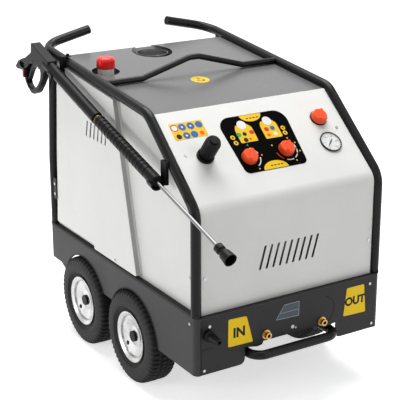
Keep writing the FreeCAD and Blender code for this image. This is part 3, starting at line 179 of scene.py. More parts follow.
def makeWearGroup(look):
    inputs = [("Width", look["width"]), ("Amount", look["amount"])]
    group, entry, leave = newGroup("edgeWear", inputs, ["Mask"])
    rounded = group.nodes.new("ShaderNodeBevel")
    rounded.samples = look["samples"]
    group.links.new(entry.outputs["Width"], rounded.inputs["Radius"])
    geometry = group.nodes.new("ShaderNodeNewGeometry")
    dot = group.nodes.new("ShaderNodeVectorMath")
    dot.operation = "DOT_PRODUCT"
    group.links.new(rounded.outputs["Normal"], dot.inputs[0])
    group.links.new(geometry.outputs["Normal"], dot.inputs[1])
    edge = mathNode(group, "SUBTRACT", look["start"], dot.outputs["Value"], clamp=True)
    coords = group.nodes.new("ShaderNodeTexCoord")
    noise = group.nodes.new("ShaderNodeTexNoise")
    noise.inputs["Scale"].default_value = look["noiseScale"]
    group.links.new(coords.outputs["Object"], noise.inputs["Vector"])
    broken = mathNode(group, "SUBTRACT", noise.outputs["Fac"], look["noiseCut"], clamp=True)
    worn = mathNode(group, "MULTIPLY", mathNode(group, "MULTIPLY", edge, look["gain"]), broken)
    mask = mathNode(group, "MULTIPLY", worn, entry.outputs["Amount"], clamp=True)
    group.links.new(mask, leave.inputs["Mask"])
    return group


def makeDustGroup(look):
    inputs = [("Amount", look["amount"]), ("Fade height", look["fadeHeight"])]
    group, entry, leave = newGroup("dustFilm", inputs, ["Mask"])
    coords = group.nodes.new("ShaderNodeTexCoord")
    split = group.nodes.new("ShaderNodeSeparateXYZ")
    group.links.new(coords.outputs["Object"], split.inputs[0])
    height = mathNode(group, "DIVIDE", split.outputs["Z"], entry.outputs["Fade height"])
    low = mathNode(group, "SUBTRACT", 1.0, height, clamp=True)
    noise = group.nodes.new("ShaderNodeTexNoise")
    noise.inputs["Scale"].default_value = look["noiseScale"]
    noise.inputs["Detail"].default_value = look["noiseDetail"]
    group.links.new(coords.outputs["Object"], noise.inputs["Vector"])
    spread = mathNode(group, "MULTIPLY", low, noise.outputs["Fac"])
    mask = mathNode(group, "MULTIPLY", spread, entry.outputs["Amount"], clamp=True)
    group.links.new(mask, leave.inputs["Mask"])
    return group


grainGroup = makeGrainGroup(grainLook)
wearGroup = makeWearGroup(wearLook)
dustGroup = makeDustGroup(dustLook)

# finish of each material: colour, gloss, grain and, where it has them, wear and dust
finishes = {
    "frame_black": {"color": (0.006, 0.006, 0.0065), "rough": 0.29, "shine": 0.16,
                    "grain": 900, "bump": 0.02, "wear": 0.15, "worn": (0.10, 0.10, 0.10)},
    "base_grey": {"color": (0.038, 0.038, 0.039), "rough": 0.50, "shine": 0.20, "dust": 0.12,
                  "grain": 1100, "bump": 0.12, "wear": 0.25, "worn": (0.16, 0.16, 0.16)},
    # front plate: the base grey darkened, painted shade of the front face
    "plate_painted_shade": {"color": (0.0175, 0.0175, 0.018), "rough": 0.48, "shine": 0.20, "dust": 0.05,
                   "grain": 1100, "bump": 0.12, "wear": 0.25, "worn": (0.13, 0.13, 0.13)},
    "panel_white": {"color": (0.80, 0.80, 0.775), "rough": 0.38, "shine": 0.35,
                    "grain": 1300, "bump": 0.03, "wear": 0.10, "worn": (0.60, 0.60, 0.58)},
    "top_grey": {"color": (0.135, 0.135, 0.136), "rough": 0.24, "shine": 0.36,
                 "grain": 1300, "bump": 0.03, "wear": 0.15, "worn": (0.40, 0.40, 0.40)},
    "seal_black": {"color": (0.008, 0.008, 0.009), "rough": 0.62, "shine": 0.25,
                   "grain": 700, "bump": 0.10},
    "trim_black": {"color": (0.005, 0.005, 0.0055), "rough": 0.38, "shine": 0.12,
                   "grain": 1500, "bump": 0.10, "wear": 0.10, "worn": (0.04, 0.04, 0.04)},
    "overlay_black": {"color": (0.0022, 0.0022, 0.0024), "rough": 0.45, "shine": 0.01,
                      "grain": 1600, "bump": 0.02},
    "steel": {"color": (0.42, 0.42, 0.43), "rough": 0.30, "metal": 1.0,
              "grain": 600, "bump": 0.04},
    "tyre_black": {"color": (0.0090, 0.0090, 0.0094), "rough": 0.56, "shine": 0.17, "dust": 0.12,
                   "grain": 500, "bump": 0.18},
    "rim_silver": {"color": (0.74, 0.74, 0.735), "rough": 0.27, "metal": 0.95, "dust": 0.10,
                   "cloud": 26.0, "dark": 0.46,
                   "grain": 1000, "bump": 0.03, "wear": 0.2, "worn": (0.30, 0.30, 0.30)},
    "knob_orange": {"color": (0.94, 0.090, 0.014), "rough": 0.34, "shine": 0.35,
                    "grain": 1500, "bump": 0.04, "wear": 0.15, "worn": (0.86, 0.26, 0.14)},
    "gauge_face": {"color": (0.010, 0.010, 0.011), "rough": 0.30, "shine": 0.30,
                   "grain": 1500, "bump": 0.02},
    "needle_black": {"color": (0.008, 0.008, 0.008), "rough": 0.50, "shine": 0.20,
                     "grain": 1500, "bump": 0.02},
    "cap_red": {"color": (0.90, 0.011, 0.010), "rough": 0.30, "shine": 0.40,
                "grain": 1400, "bump": 0.03, "wear": 0.15, "worn": (0.75, 0.12, 0.10)},
    "tank_white": {"color": (0.74, 0.74, 0.70), "rough": 0.48,
                   "grain": 900, "bump": 0.06},
    "brass": {"color": (0.52, 0.34, 0.12), "rough": 0.28, "metal": 1.0,
              "grain": 800, "bump": 0.04},
    "latch_red": {"color": (0.14, 0.006, 0.010), "rough": 0.40, "shine": 0.25,
                  "grain": 1400, "bump": 0.04},
    "stainless": {"color": (0.46, 0.46, 0.47), "rough": 0.34, "metal": 1.0,
                  "grain": 700, "bump": 0.04},
    "cast_grey": {"color": (0.30, 0.31, 0.32), "rough": 0.55, "metal": 0.8,
                  "grain": 500, "bump": 0.16},
    "pump_brass": {"color": (0.50, 0.36, 0.16), "rough": 0.45, "metal": 1.0,
                   "grain": 500, "bump": 0.14},
    "print_yellow": {"color": (0.84, 0.53, 0.010), "rough": 0.42, "shine": 0.25,
                     "grain": 1500, "bump": 0.02},
    "label_yellow": {"color": (0.98, 0.66, 0.010), "rough": 0.45, "shine": 0.20,
                     "grain": 1500, "bump": 0.02},
    "badge_slate": {"color": (0.065, 0.085, 0.105), "rough": 0.40, "shine": 0.25,
                    "grain": 1400, "bump": 0.03},
    # grey of the cover's front edge strip: painted shade of that sloped face
    "edge_painted_shade": {"color": (0.45, 0.45, 0.43), "rough": 0.45, "shine": 0.25,
                  "grain": 1200, "bump": 0.04},
    "lance_steel": {"color": (0.20, 0.20, 0.205), "rough": 0.28, "metal": 1.0,
                    "grain": 700, "bump": 0.04},
    "union_brass": {"color": (0.16, 0.105, 0.040), "rough": 0.34, "metal": 1.0,
                    "grain": 800, "bump": 0.06},
    "print_white": {"color": (0.80, 0.80, 0.79), "rough": 0.42, "shine": 0.25,
                    "grain": 1500, "bump": 0.02},
    "print_blue": {"color": (0.02, 0.13, 0.36), "rough": 0.40, "shine": 0.25,
                   "grain": 1500, "bump": 0.02},
    "print_green": {"color": (0.05, 0.35, 0.08), "rough": 0.40, "shine": 0.25,
                    "grain": 1500, "bump": 0.02},
    "print_red": {"color": (0.60, 0.03, 0.02), "rough": 0.40, "shine": 0.25,
                  "grain": 1500, "bump": 0.02},
    "print_dark": {"color": (0.008, 0.008, 0.008), "rough": 0.42, "shine": 0.15,
                   "grain": 1500, "bump": 0.02},
    "print_grey": {"color": (0.34, 0.37, 0.39), "rough": 0.42, "shine": 0.25,
                   "grain": 1500, "bump": 0.02},
}
surface = {
    "metal": 0.0,
    "shine": 0.5,
    "cloud": 6.0,
    "dark": 0.88,
    "glossSwing": 0.16,
    "bumpDepth": 0.0006,
}
glassLook = {
    "grain": 900.0,
    "dull": (0.94, 0.95, 0.95),
    "clear": (0.99, 0.99, 0.99),
    "rough": 0.04,
    "refraction": 1.45,
    "alpha": 0.10,
}


def groupNode(tree, group, values):
    node = tree.nodes.new("ShaderNodeGroup")
    node.node_tree = group
    for label, value in values.items():
        node.inputs[label].default_value = value
    return node


def mixColor(tree, mask, first, second):
    node = tree.nodes.new("ShaderNodeMix")
    node.data_type = "RGBA"
    tree.links.new(mask, node.inputs["Factor"])
    for socket, value in ((node.inputs[6], first), (node.inputs[7], second)):
        if isinstance(value, tuple):
            socket.default_value = (*value, 1.0)
        else:
            tree.links.new(value, socket)
    return node.outputs[2]


def makeFinish(name, look):
    material = bpy.data.materials.new(name)
    material.use_nodes = True
    tree = material.node_tree
    shader = tree.nodes["Principled BSDF"]
    shader.inputs["Metallic"].default_value = look.get("metal", surface["metal"])
    shader.inputs["Specular IOR Level"].default_value = look.get("shine", surface["shine"])
    scales = {"Scale": float(look["grain"]), "Cloud scale": look.get("cloud", surface["cloud"])}
    grain = groupNode(tree, grainGroup, scales)
    darker = tuple(value * look.get("dark", surface["dark"]) for value in look["color"])
    color = mixColor(tree, grain.outputs["Cloud"], darker, look["color"])
    if look.get("wear"):
        wear = groupNode(tree, wearGroup, {"Amount": look["wear"]})
        color = mixColor(tree, wear.outputs["Mask"], color, look["worn"])
    if look.get("dust"):
        dust = groupNode(tree, dustGroup, {"Amount": look["dust"]})
        color = mixColor(tree, dust.outputs["Mask"], color, dustLook["color"])
    tree.links.new(color, shader.inputs["Base Color"])
    swing = mathNode(tree, "SUBTRACT", grain.outputs["Cloud"], 0.5)
    swing = mathNode(tree, "MULTIPLY", swing, surface["glossSwing"])
    gloss = mathNode(tree, "ADD", swing, look["rough"], clamp=True)
    tree.links.new(gloss, shader.inputs["Roughness"])
    bump = tree.nodes.new("ShaderNodeBump")
    bump.inputs["Strength"].default_value = look["bump"]
    bump.inputs["Distance"].default_value = surface["bumpDepth"]
    tree.links.new(grain.outputs["Height"], bump.inputs["Height"])
    tree.links.new(bump.outputs["Normal"], shader.inputs["Normal"])
    return material


def makeGlass(look):
    material = bpy.data.materials.new("clear_glass")
    material.use_nodes = True
    tree = material.node_tree
    shader = tree.nodes["Principled BSDF"]
    grain = groupNode(tree, grainGroup, {"Scale": look["grain"]})
    color = mixColor(tree, grain.outputs["Cloud"], look["dull"], look["clear"])
    tree.links.new(color, shader.inputs["Base Color"])
    shader.inputs["Roughness"].default_value = look["rough"]
    shader.inputs["IOR"].default_value = look["refraction"]
    shader.inputs["Alpha"].default_value = look["alpha"]
    return material


materials = {name: makeFinish(name, look) for name, look in finishes.items()}
materials["clear_glass"] = makeGlass(glassLook)

# pieces whose finish differs a little from that of their slot; the front plate's is the base grey
# darkened as painted shade of the front face
ownFinishes = {"front_plate": "plate_painted_shade", "lance_tube": "lance_steel", "lance_nut": "union_brass"}


def dress(piece, finish):
    piece.data.materials.clear()
    piece.data.materials.append(materials[finish])


for entry in frame["record"]["subparts"]:
    node = entry["node"]
    dress(frame["nodes"][node], ownFinishes.get(node, entry["material_slot"]))
print("stage: finishes")


# building helpers
def addPiece(name, mesh, finish, body="machine"):
    piece = bpy.data.objects.new(name, mesh)
    scene.collection.objects.link(piece)
    dress(piece, finish)
    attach(piece, body)
    return piece


def shapedMesh(carrier):  # the mesh of a text or of a shape with its modifiers
    scene.collection.objects.link(carrier)
    bpy.context.view_layer.update()
    shaped = carrier.evaluated_get(bpy.context.evaluated_depsgraph_get())
    mesh = bpy.data.meshes.new_from_object(shaped)
    bpy.data.objects.remove(carrier)
    return mesh


def finishedMesh(work, name):
    bmesh.ops.recalc_face_normals(work, faces=work.faces)
    mesh = bpy.data.meshes.new(name)
    work.to_mesh(mesh)
    work.free()
    return mesh


def smooth(mesh):
    mesh.polygons.foreach_set("use_smooth", [True] * len(mesh.polygons))


def around(x, y, radius, turn):
    return (x + radius * math.cos(turn), y + radius * math.sin(turn))


def circleOutline(x, y, radius, steps=40):
    return [around(x, y, radius, 2 * math.pi * i / steps) for i in range(steps)]


def boxOutline(left, low, right, high):
    return [(left, low), (right, low), (right, high), (left, high)]


def roundedOutline(corners, radius, steps=5):
    outline = []
    count = len(corners)
    for i in range(count):
        here = Vector(corners[i])
        back = (Vector(corners[i - 1]) - here).normalized()
        ahead = (Vector(corners[(i + 1) % count]) - here).normalized()
        first = here + back * radius
        last = here + ahead * radius
        for k in range(steps + 1):
            t = k / steps
            outline.append(tuple(first * (1 - t) ** 2 + here * 2 * t * (1 - t) + last * t * t))
    return outline


def halfDisc(x, y, halfWidth, height, steps=24):
    turns = [math.pi * i / steps for i in range(steps + 1)]
    return [(x + halfWidth * math.cos(t), y + height * math.sin(t)) for t in turns]


def arcBand(x, y, radius, width, start, stop, steps=40):
    turns = [math.radians(start + (stop - start) * i / steps) for i in range(steps + 1)]
    outer = [around(x, y, radius + width / 2, t) for t in turns]
    inner = [around(x, y, radius - width / 2, t) for t in turns]
    return outer + inner[::-1]


def makeStrip(start, end, width):
    first = Vector(start)
    last = Vector(end)
    along = (last - first).normalized()
    across = Vector((-along.y, along.x)) * width / 2
    corners = (first - across, last - across, last + across, first + across)
    return [tuple(corner) for corner in corners]


def thinPlate(outlines, place, lift, thickness):
    work = bmesh.new()
    for outline in outlines:
        low = [work.verts.new(place(u, v, lift)) for u, v in outline]
        high = [work.verts.new(place(u, v, lift + thickness)) for u, v in outline]
        work.faces.new(high)
        work.faces.new(low[::-1])
        for i in range(len(low)):
            j = (i + 1) % len(low)
            work.faces.new((low[i], low[j], high[j], high[i]))
    return finishedMesh(work, "plate")


def letters(text, size, middle, place, lift, thickness, bold=0.0):
    curve = bpy.data.curves.new("letters", "FONT")
    curve.body = text
    curve.size = size
    curve.align_x = "CENTER"
    curve.align_y = "CENTER"
    curve.extrude = thickness / 2
    curve.offset = bold
    mesh = shapedMesh(bpy.data.objects.new("letters", curve))
    for vertex in mesh.vertices:
        u, v, h = vertex.co
        vertex.co = place(middle[0] + u, middle[1] + v, lift + thickness / 2 + h)
    return mesh


# tyres: half of the section from bead to crown as (x, radius), then grooves between the lugs
tyreLook = {
    "places": {"front": -0.096, "rear": 0.271},
    "sides": {"left": -0.3355, "right": 0.3355},
    "radius": 0.165,
    "width": 0.102,
    "bead": 0.0785,
    "wall": [(0.038, 0.094), (0.0425, 0.1005), (0.0455, 0.1045), (0.0455, 0.1065),
             (0.0490, 0.1090), (0.0505, 0.1125)],
    "wallWidest": (0.116, 0.130),
    "shoulder": [(0.0500, 0.138), (0.0500, 0.140), (0.0492, 0.145), (0.0488, 0.150),
                 (0.0476, 0.155), (0.0446, 0.1596), (0.0404, 0.1620), (0.0360, 0.1640),
                 (0.0290, 0.1645), (0.0230, 0.1647)],
    "crown": [(0.0125, 0.1648), (0.0115, 0.1648), (0.0095, 0.1649), (0.0085, 0.1649)],
    "lugs": 54,
    "perLug": 6,
    "lugGap": 0.34,
    "grooveDepth": 0.0050,
    "crownDepth": 0.7,
    "grooveStart": 0.142,
    "middleGroove": (0.0090, 0.0120),
    "innerLugEnd": 0.020,
    "sharpAngle": 32,
}


def tyreProfile(look):
    half = look["width"] / 2
    widest = [(half, radius) for radius in look["wallWidest"]]
    right = [(look["wall"][0][0], look["bead"])] + look["wall"] + widest
    right += look["shoulder"] + look["crown"] + [(0.0, look["radius"])]
    return right + [(-x, r) for x, r in reversed(right[:-1])]


def grooveAt(x, r, phase, look):
    side = abs(x)
    grooveInner, grooveOuter = look["middleGroove"]
    if r < look["grooveStart"]:
        return 0.0
    if side < grooveInner or grooveOuter < side < look["innerLugEnd"]:
        between = (phase + 0.5) % 1.0 < look["lugGap"]
        return look["grooveDepth"] * look["crownDepth"] if between else 0.0
    if side <= grooveOuter:
        return look["grooveDepth"]
    return look["grooveDepth"] if phase < look["lugGap"] else 0.0


def makeTyreMesh(look):
    profile = tyreProfile(look)
    steps = look["lugs"] * look["perLug"]
    work = bmesh.new()
    rings = []
    for i in range(steps):
        turn = 2 * math.pi * i / steps
        phase = (i % look["perLug"]) / look["perLug"]
        ring = []
        for x, r in profile:
            radius = r - grooveAt(x, r, phase, look)
            ring.append(work.verts.new((x, radius * math.cos(turn), radius * math.sin(turn))))
        rings.append(ring)
    for i in range(steps):
        here = rings[i]
        after = rings[(i + 1) % steps]
        for k in range(len(profile)):
            m = (k + 1) % len(profile)
            work.faces.new((here[k], after[k], after[m], here[m]))
    mesh = finishedMesh(work, "tyre")
    smooth(mesh)
    mesh.set_sharp_from_angle(angle=math.radians(look["sharpAngle"]))
    return mesh


def makeTyres(look):
    shape = makeTyreMesh(look)
    for end, y in look["places"].items():
        for side, x in look["sides"].items():
            mesh = shape.copy()
            mesh.transform(Matrix.Translation((x, y, look["radius"])))
            name = end + "_" + side
            tyre = addPiece(name + "_tread_tyre", mesh, "tyre_black", name + "_wheel")
            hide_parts(name + "_tyre")


makeTyres(tyreLook)
print("stage: tyres")

# moulded gun pieces: the CAD shape with its edges softened
softPieces = {
    "gun_body": {"body": "gun", "slot": "trim_black", "voxel": 0.0012, "rounds": 8},
    "gun_trigger": {"body": "gun_trigger", "slot": "trim_black", "voxel": 0.0007, "rounds": 5},
    "safety_latch": {"body": "safety_latch", "slot": "latch_red", "voxel": 0.0005, "rounds": 4},
}


def softenedMesh(node, voxel, rounds):
    carrier = bpy.data.objects.new("carrier", frame["nodes"][node].data.copy())
    remesh = carrier.modifiers.new("remesh", "REMESH")
    remesh.mode = "VOXEL"
    remesh.voxel_size = voxel
    relax = carrier.modifiers.new("relax", "SMOOTH")
    relax.factor = 0.5
    relax.iterations = rounds
    mesh = shapedMesh(carrier)
    smooth(mesh)
    return mesh


for node, look in softPieces.items():
    mesh = softenedMesh(node, look["voxel"], look["rounds"])
    piece = addPiece(node + "_moulded", mesh, look["slot"], look["body"])
    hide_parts(node)
print("stage: gun")

# print on the console overlay: plain tags, discs, bars, arcs and ticks, no words
overlayPrint = {
    "lift": 0.0011,
    "sheet": 0.0003,
    "tagSpans": [(-0.083, -0.017), (0.015, 0.080)],
    "tagHeights": {"low": 0.210, "left": 0.262, "right": 0.266, "top": 0.280},
    "tagTop": (0.008, 0.054),
    "tagCorner": 0.005,
    "windows": [(-0.050, 0.279, 0.017), (0.050, 0.279, 0.017)],
    "fields": [(-0.0035, 0.0965, 0.0475, 0.030), (-0.001, 0.3145, 0.042, -0.028)],
    "barRows": (0.107, 0.298),
    "barStarts": (-0.021, -0.008, 0.005, 0.018),
    "barSize": (0.008, 0.004),
    "pairs": [(-0.104, 0.237), (-0.102, 0.215), (0.096, 0.242), (0.0945, 0.222)],
    "pairRadius": 0.0085,
    "dots": {
        "print_green": [(-0.077, 0.243, 0.0085), (-0.066, 0.1995, 0.003)],
        "print_dark": [(-0.055, 0.243, 0.0075), (-0.061, 0.220, 0.0085), (-0.104, 0.237, 0.0035),
                       (-0.102, 0.215, 0.0035), (0.096, 0.242, 0.0035), (0.0945, 0.222, 0.0035)],
        "print_red": [(-0.0265, 0.246, 0.0085), (0.033, 0.247, 0.0085)],
        "print_blue": [(0.057, 0.248, 0.0085)],
        "knob_orange": [(-0.0435, 0.2205, 0.0055), (0.031, 0.2235, 0.0065)],
        "print_white": [(0.0575, 0.2245, 0.0075)],
    },
}
knobPrint = {
    "switch": (-0.083, 0.1525),
    "heat": (0.0645, 0.158),
    "ring": 0.040,
    "arcWidth": 0.0034,
    "switchArcs": [(15, 62), (-62, -8)],
    "heatArcs": [(2, 46), (-28, -6), (-62, -36), (-112, -74)],
    "warmArc": (-172, -128),
    "warmWidth": 0.0026,
    "tickRing": 0.050,
    "tickRadius": 0.0028,
    "switchTicks": (70, 2, -70),
    "heatTicks": (58, 24, -16, -68, 150),
}


def addPrint(name, outlines, lift, thickness, finish):
    addPiece(name, thinPlate(outlines, onConsole, lift, thickness), finish)


def tagOutline(left, right, look):
    heights = look["tagHeights"]
    topStart, topEnd = look["tagTop"]
    corners = [(left, heights["low"]), (right, heights["low"]), (right, heights["right"])]
    corners += [(left + topEnd, heights["top"]), (left + topStart, heights["top"])]
    corners.append((left, heights["left"]))
    return roundedOutline(corners, look["tagCorner"])


def makeOverlayPrint(look):
    lift = look["lift"]
    sheet = look["sheet"]
    tags = [tagOutline(left, right, look) for left, right in look["tagSpans"]]
    addPrint("overlay_tags", tags, lift, sheet, "print_yellow")
    windows = [circleOutline(*window) for window in look["windows"]]
    addPrint("overlay_windows", windows, lift + sheet, sheet, "print_white")
    fields = [halfDisc(*field) for field in look["fields"]]
    addPrint("overlay_fields", fields, lift, sheet, "print_yellow")
    width, height = look["barSize"]
    places = [(x, s) for s in look["barRows"] for x in look["barStarts"]]
    bars = [boxOutline(x, s, x + width, s + height) for x, s in places]
    addPrint("overlay_bars", bars, lift + sheet, sheet / 2, "print_dark")
    pairs = [circleOutline(x, s, look["pairRadius"], 28) for x, s in look["pairs"]]
    addPrint("overlay_pairs", pairs, lift, sheet, "print_yellow")


def makeKnobPrint(look, lift, sheet):
    arcs = []
    ticks = []
    for knob in ("switch", "heat"):
        for start, stop in look[knob + "Arcs"]:
            arcs.append(arcBand(*look[knob], look["ring"], look["arcWidth"], start, stop))
        for turn in look[knob + "Ticks"]:
            spot = around(*look[knob], look["tickRing"], math.radians(turn))
            ticks.append(circleOutline(*spot, look["tickRadius"], 16))
    warm = arcBand(*look["heat"], look["ring"], look["warmWidth"], *look["warmArc"])
    addPrint("knob_arcs", arcs, lift, sheet, "print_white")
    addPrint("knob_warm_arc", [warm], lift, sheet, "print_red")
    addPrint("knob_ticks", ticks, lift, sheet, "print_yellow")


def makeOverlayDots(look):
    for finish, places in look["dots"].items():
        discs = [circleOutline(x, s, radius, 24) for x, s, radius in places]
        name = "overlay_dots_" + finish.split("_")[1]
        addPrint(name, discs, look["lift"] + look["sheet"], look["sheet"], finish)


makeOverlayPrint(overlayPrint)
makeKnobPrint(knobPrint, overlayPrint["lift"], overlayPrint["sheet"])
makeOverlayDots(overlayPrint)

# gauge dial with plain numbers
dialLook = {
    "x": 0.245,
    "s": 0.155,
    "radius": 0.0355,
    "lift": 0.0020,
    "sheet": 0.0002,
    "ink": 0.0001,
    "start": 240,
    "sweep": 300,
    "steps": 30,
    "perNumber": 6,
    "markEnd": 0.95,
    "longMark": {"start": 0.80, "half": 0.0005},
    "shortMark": {"start": 0.87, "half": 0.00028},
    "numbers": ["0", "50", "100", "150", "200", "250"],
    "numberRing": 0.0235,
    "numberSize": 0.0070,
}


def dialMark(look, i):
    turn = math.radians(look["start"] - look["sweep"] * i / look["steps"])
    mark = look["shortMark"] if i % look["perNumber"] else look["longMark"]
    inner = look["radius"] * mark["start"]
    outer = look["radius"] * look["markEnd"]
    along = Vector((math.cos(turn), math.sin(turn)))
    across = Vector((-along.y, along.x)) * mark["half"]
    middle = Vector((look["x"], look["s"]))
    ends = (along * inner - across, along * outer - across)
    ends += (along * outer + across, along * inner + across)
    return [tuple(middle + end) for end in ends]


def makeDial(look):
    x, s = look["x"], look["s"]
    disc = circleOutline(x, s, look["radius"], 64)
    face = thinPlate([disc], onConsole, look["lift"], look["sheet"])
    addPiece("gauge_dial", face, "print_white")
    lift = look["lift"] + look["sheet"]
    marks = [dialMark(look, i) for i in range(look["steps"] + 1)]
    lines = thinPlate(marks, onConsole, lift, look["ink"])
    addPiece("gauge_marks", lines, "print_dark")
    for i, text in enumerate(look["numbers"]):
        turn = math.radians(look["start"] - look["sweep"] * i / (len(look["numbers"]) - 1))
        spot = around(x, s, look["numberRing"], turn)
        number = letters(text, look["numberSize"], spot, onConsole, lift, look["ink"])
        addPiece("gauge_number_" + text, number, "print_dark")


makeDial(dialLook)
print("stage: console")

# yellow plates beside the ports, with the plain words in and out
portLabels = {
    "in": {
        "corners": [(-0.249, 0.261), (-0.153, 0.259), (-0.179, 0.354), (-0.248, 0.357)],
        "middle": (-0.207, 0.304),
        "size": 0.046,
    },
    "out": {
        "corners": [(0.215, 0.258), (0.310, 0.255), (0.300, 0.358), (0.227, 0.358)],
        "middle": (0.263, 0.306),
        "size": 0.040,
    },
}
labelSheet = {"corner": 0.005, "lift": 0.0001, "sheet": 0.0006, "ink": 0.0003, "bold": 0.0018}


def makePortLabel(name, look, sheet):
    outline = roundedOutline(look["corners"], sheet["corner"])
    plate = thinPlate([outline], onBaseFront, sheet["lift"], sheet["sheet"])
    addPiece("port_label_" + name, plate, "label_yellow")
    lift = sheet["lift"] + sheet["sheet"]
    word = letters(name.upper(), look["size"], look["middle"], onBaseFront, lift,
                   sheet["ink"], sheet["bold"])
    addPiece("port_word_" + name, word, "print_dark")


for name, look in portLabels.items():
    makePortLabel(name, look, labelSheet)

# stickers: plain discs on the console, a hook mark on the top sheet
stickerLook = {
    "box": (-0.305, 0.261, -0.183, 0.326),
    "corner": 0.004,
    "lift": 0.0001,
    "sheet": 0.0004,
    "ink": 0.0002,
    "discs": {
        "print_red": [(-0.2895, 0.3085, 0.0135)],
        "print_white": [(-0.2895, 0.3085, 0.0100), (-0.261, 0.3085, 0.0035),
                        (-0.2295, 0.3085, 0.0035), (-0.2585, 0.2745, 0.0035)],
        "print_blue": [(-0.261, 0.3085, 0.0135), (-0.2295, 0.3085, 0.0135),
                       (-0.1985, 0.309, 0.0130), (-0.2585, 0.2745, 0.0130),
                       (-0.230, 0.275, 0.0130)],
        "print_dark": [(-0.2865, 0.2745, 0.0095)],
        "knob_orange": [(-0.201, 0.2755, 0.0085)],
    },
}
liftSticker = {
    "disc": (-0.009, 0.044, 0.033),
    "hook": (-0.009, 0.038, 0.011, 0.005, 150, 400),
    "shank": (-0.0115, 0.047, -0.0065, 0.066),
    "lift": 0.0001,
    "sheet": 0.0004,
    "ink": 0.0002,
}


def makeConsoleSticker(look):
    outline = roundedOutline(boxOutline(*look["box"]), look["corner"])
    plate = thinPlate([outline], onConsole, look["lift"], look["sheet"])
    addPiece("console_sticker", plate, "print_yellow")
    for finish, places in look["discs"].items():
        discs = [circleOutline(x, s, radius, 28) for x, s, radius in places]
        lift = look["lift"] + look["sheet"]
        if finish == "print_white":  # lies on the coloured discs
            lift += look["ink"]
        name = "sticker_discs_" + finish.split("_")[1]
        addPiece(name, thinPlate(discs, onConsole, lift, look["ink"]), finish)


def makeLiftSticker(look):
    disc = thinPlate([circleOutline(*look["disc"])], onTop, look["lift"], look["sheet"])
    addPiece("lift_sticker", disc, "print_yellow")
    hook = [arcBand(*look["hook"]), boxOutline(*look["shank"])]
    mark = thinPlate(hook, onTop, look["lift"] + look["sheet"], look["ink"])
    addPiece("lift_mark", mark, "print_dark")


makeConsoleSticker(stickerLook)
makeLiftSticker(liftSticker)
print("stage: labels")

# bare badge plate with its edge, drain mark and seams on the base front, and a dark arc of painted
# shade along the recess wall right of centre
baseTrim = {
    "badge": [(-0.063, 0.312), (-0.032, 0.358), (0.028, 0.358), (0.027, 0.308)],
    "badgeCorner": 0.004,
    "badgeSheet": 0.0008,
    "edgeWidth": 0.0020,
    "edgeLift": 0.0010,
    "line": ((-0.052, 0.331), (0.0275, 0.331), 0.0016),
    "drain": [(0.005, 0.272, 0.0065, 20), (0.017, 0.266, 0.0030, 16)],
    "drainSheet": 0.0004,
    "seams": [((-0.3505, 0.196), (-0.3505, 0.352), 0.0045),
              ((-0.3500, 0.2745), (-0.306, 0.2745), 0.0045)],
    "pocketShade": (0.1255, 0.3005, 0.050, 0.0040, -60, 78),
    "lift": 0.0001,
    "ink": 0.0003,
}


def makeBaseTrim(look):
    corners = look["badge"]
    outline = roundedOutline(corners, look["badgeCorner"])
    plate = thinPlate([outline], onBaseFront, look["lift"], look["badgeSheet"])
    addPiece("badge_plate", plate, "badge_slate")
    edges = [makeStrip(corners[i], corners[(i + 1) % 4], look["edgeWidth"]) for i in range(4)]
    edges.append(makeStrip(*look["line"]))
    edge = thinPlate(edges, onBaseFront, look["edgeLift"], look["ink"])
    addPiece("badge_edge", edge, "print_grey")
    drain = [circleOutline(*disc) for disc in look["drain"]]
    mark = thinPlate(drain, onBaseFront, look["lift"], look["drainSheet"])
    addPiece("drain_mark", mark, "print_white")
    seams = [makeStrip(*seam) for seam in look["seams"]]
    # dark arc: painted shade of the recess wall
    seams.append(arcBand(*look["pocketShade"]))
    lines = thinPlate(seams, onBaseFront, look["lift"], look["ink"])
    addPiece("base_seams_and_shade", lines, "print_dark")


makeBaseTrim(baseTrim)

# grey strip of painted shade on the sloped front edge face of the side cover, hinge plate with two
# screws at the rear post
sideTrim = {
    "edge": (-0.3735, 0.408, -0.3580, 0.990),
    "edgeSheet": 0.0004,
    "hinge": (0.461, 0.503, 0.484, 0.584),
    "hingeCorner": 0.003,
    "hingeSheet": 0.0040,
    "screws": [(0.472, 0.562, 0.0055, 20), (0.472, 0.5235, 0.0055, 20)],
    "screwHead": 0.0016,
    "lift": 0.0002,
}


def makeSideTrim(look):
    # the grey strip is painted shade on the cover's sloped front face
    edge = thinPlate([boxOutline(*look["edge"])], onCoverFront, look["lift"], look["edgeSheet"])
    addPiece("cover_edge_painted_shade", edge, "edge_painted_shade")
    outline = roundedOutline(boxOutline(*look["hinge"]), look["hingeCorner"])
    plate = thinPlate([outline], onLeftSide, look["lift"], look["hingeSheet"])
    addPiece("hinge_plate", plate, "trim_black")
    heads = [circleOutline(*screw) for screw in look["screws"]]
    screws = thinPlate(heads, onLeftSide, look["lift"] + look["hingeSheet"], look["screwHead"])
    addPiece("hinge_screws", screws, "steel")


makeSideTrim(sideTrim)

# black band round the wheel arches of the skirt, painted shade standing in for the dark gap over
# the tyres: centre, first and last angle of each
archShadeBand = {
    "arches": [(-0.100, 28.5, 172.5), (0.267, 24.5, 151.5)],
    "z": 0.165,
    "radius": 0.1727,
    "width": 0.0044,
    "inner": 0.3655,
    "thickness": 0.0058,
}


def makeArchShadeBand(look):
    for name, side in (("left", -1), ("right", 1)):
        def onSkirt(y, z, h):
            return Vector((side * (look["inner"] + h), y, z))

        bands = []
        for y, start, stop in look["arches"]:
            bands.append(arcBand(y, look["z"], look["radius"], look["width"], start, stop, 64))
        # the black band is painted shade in the gap between skirt and tyre
        shadeBand = thinPlate(bands, onSkirt, 0.0, look["thickness"])
        addPiece("arch_shade_band_" + name, shadeBand, "seal_black")


makeArchShadeBand(archShadeBand)
print("stage: small trim")

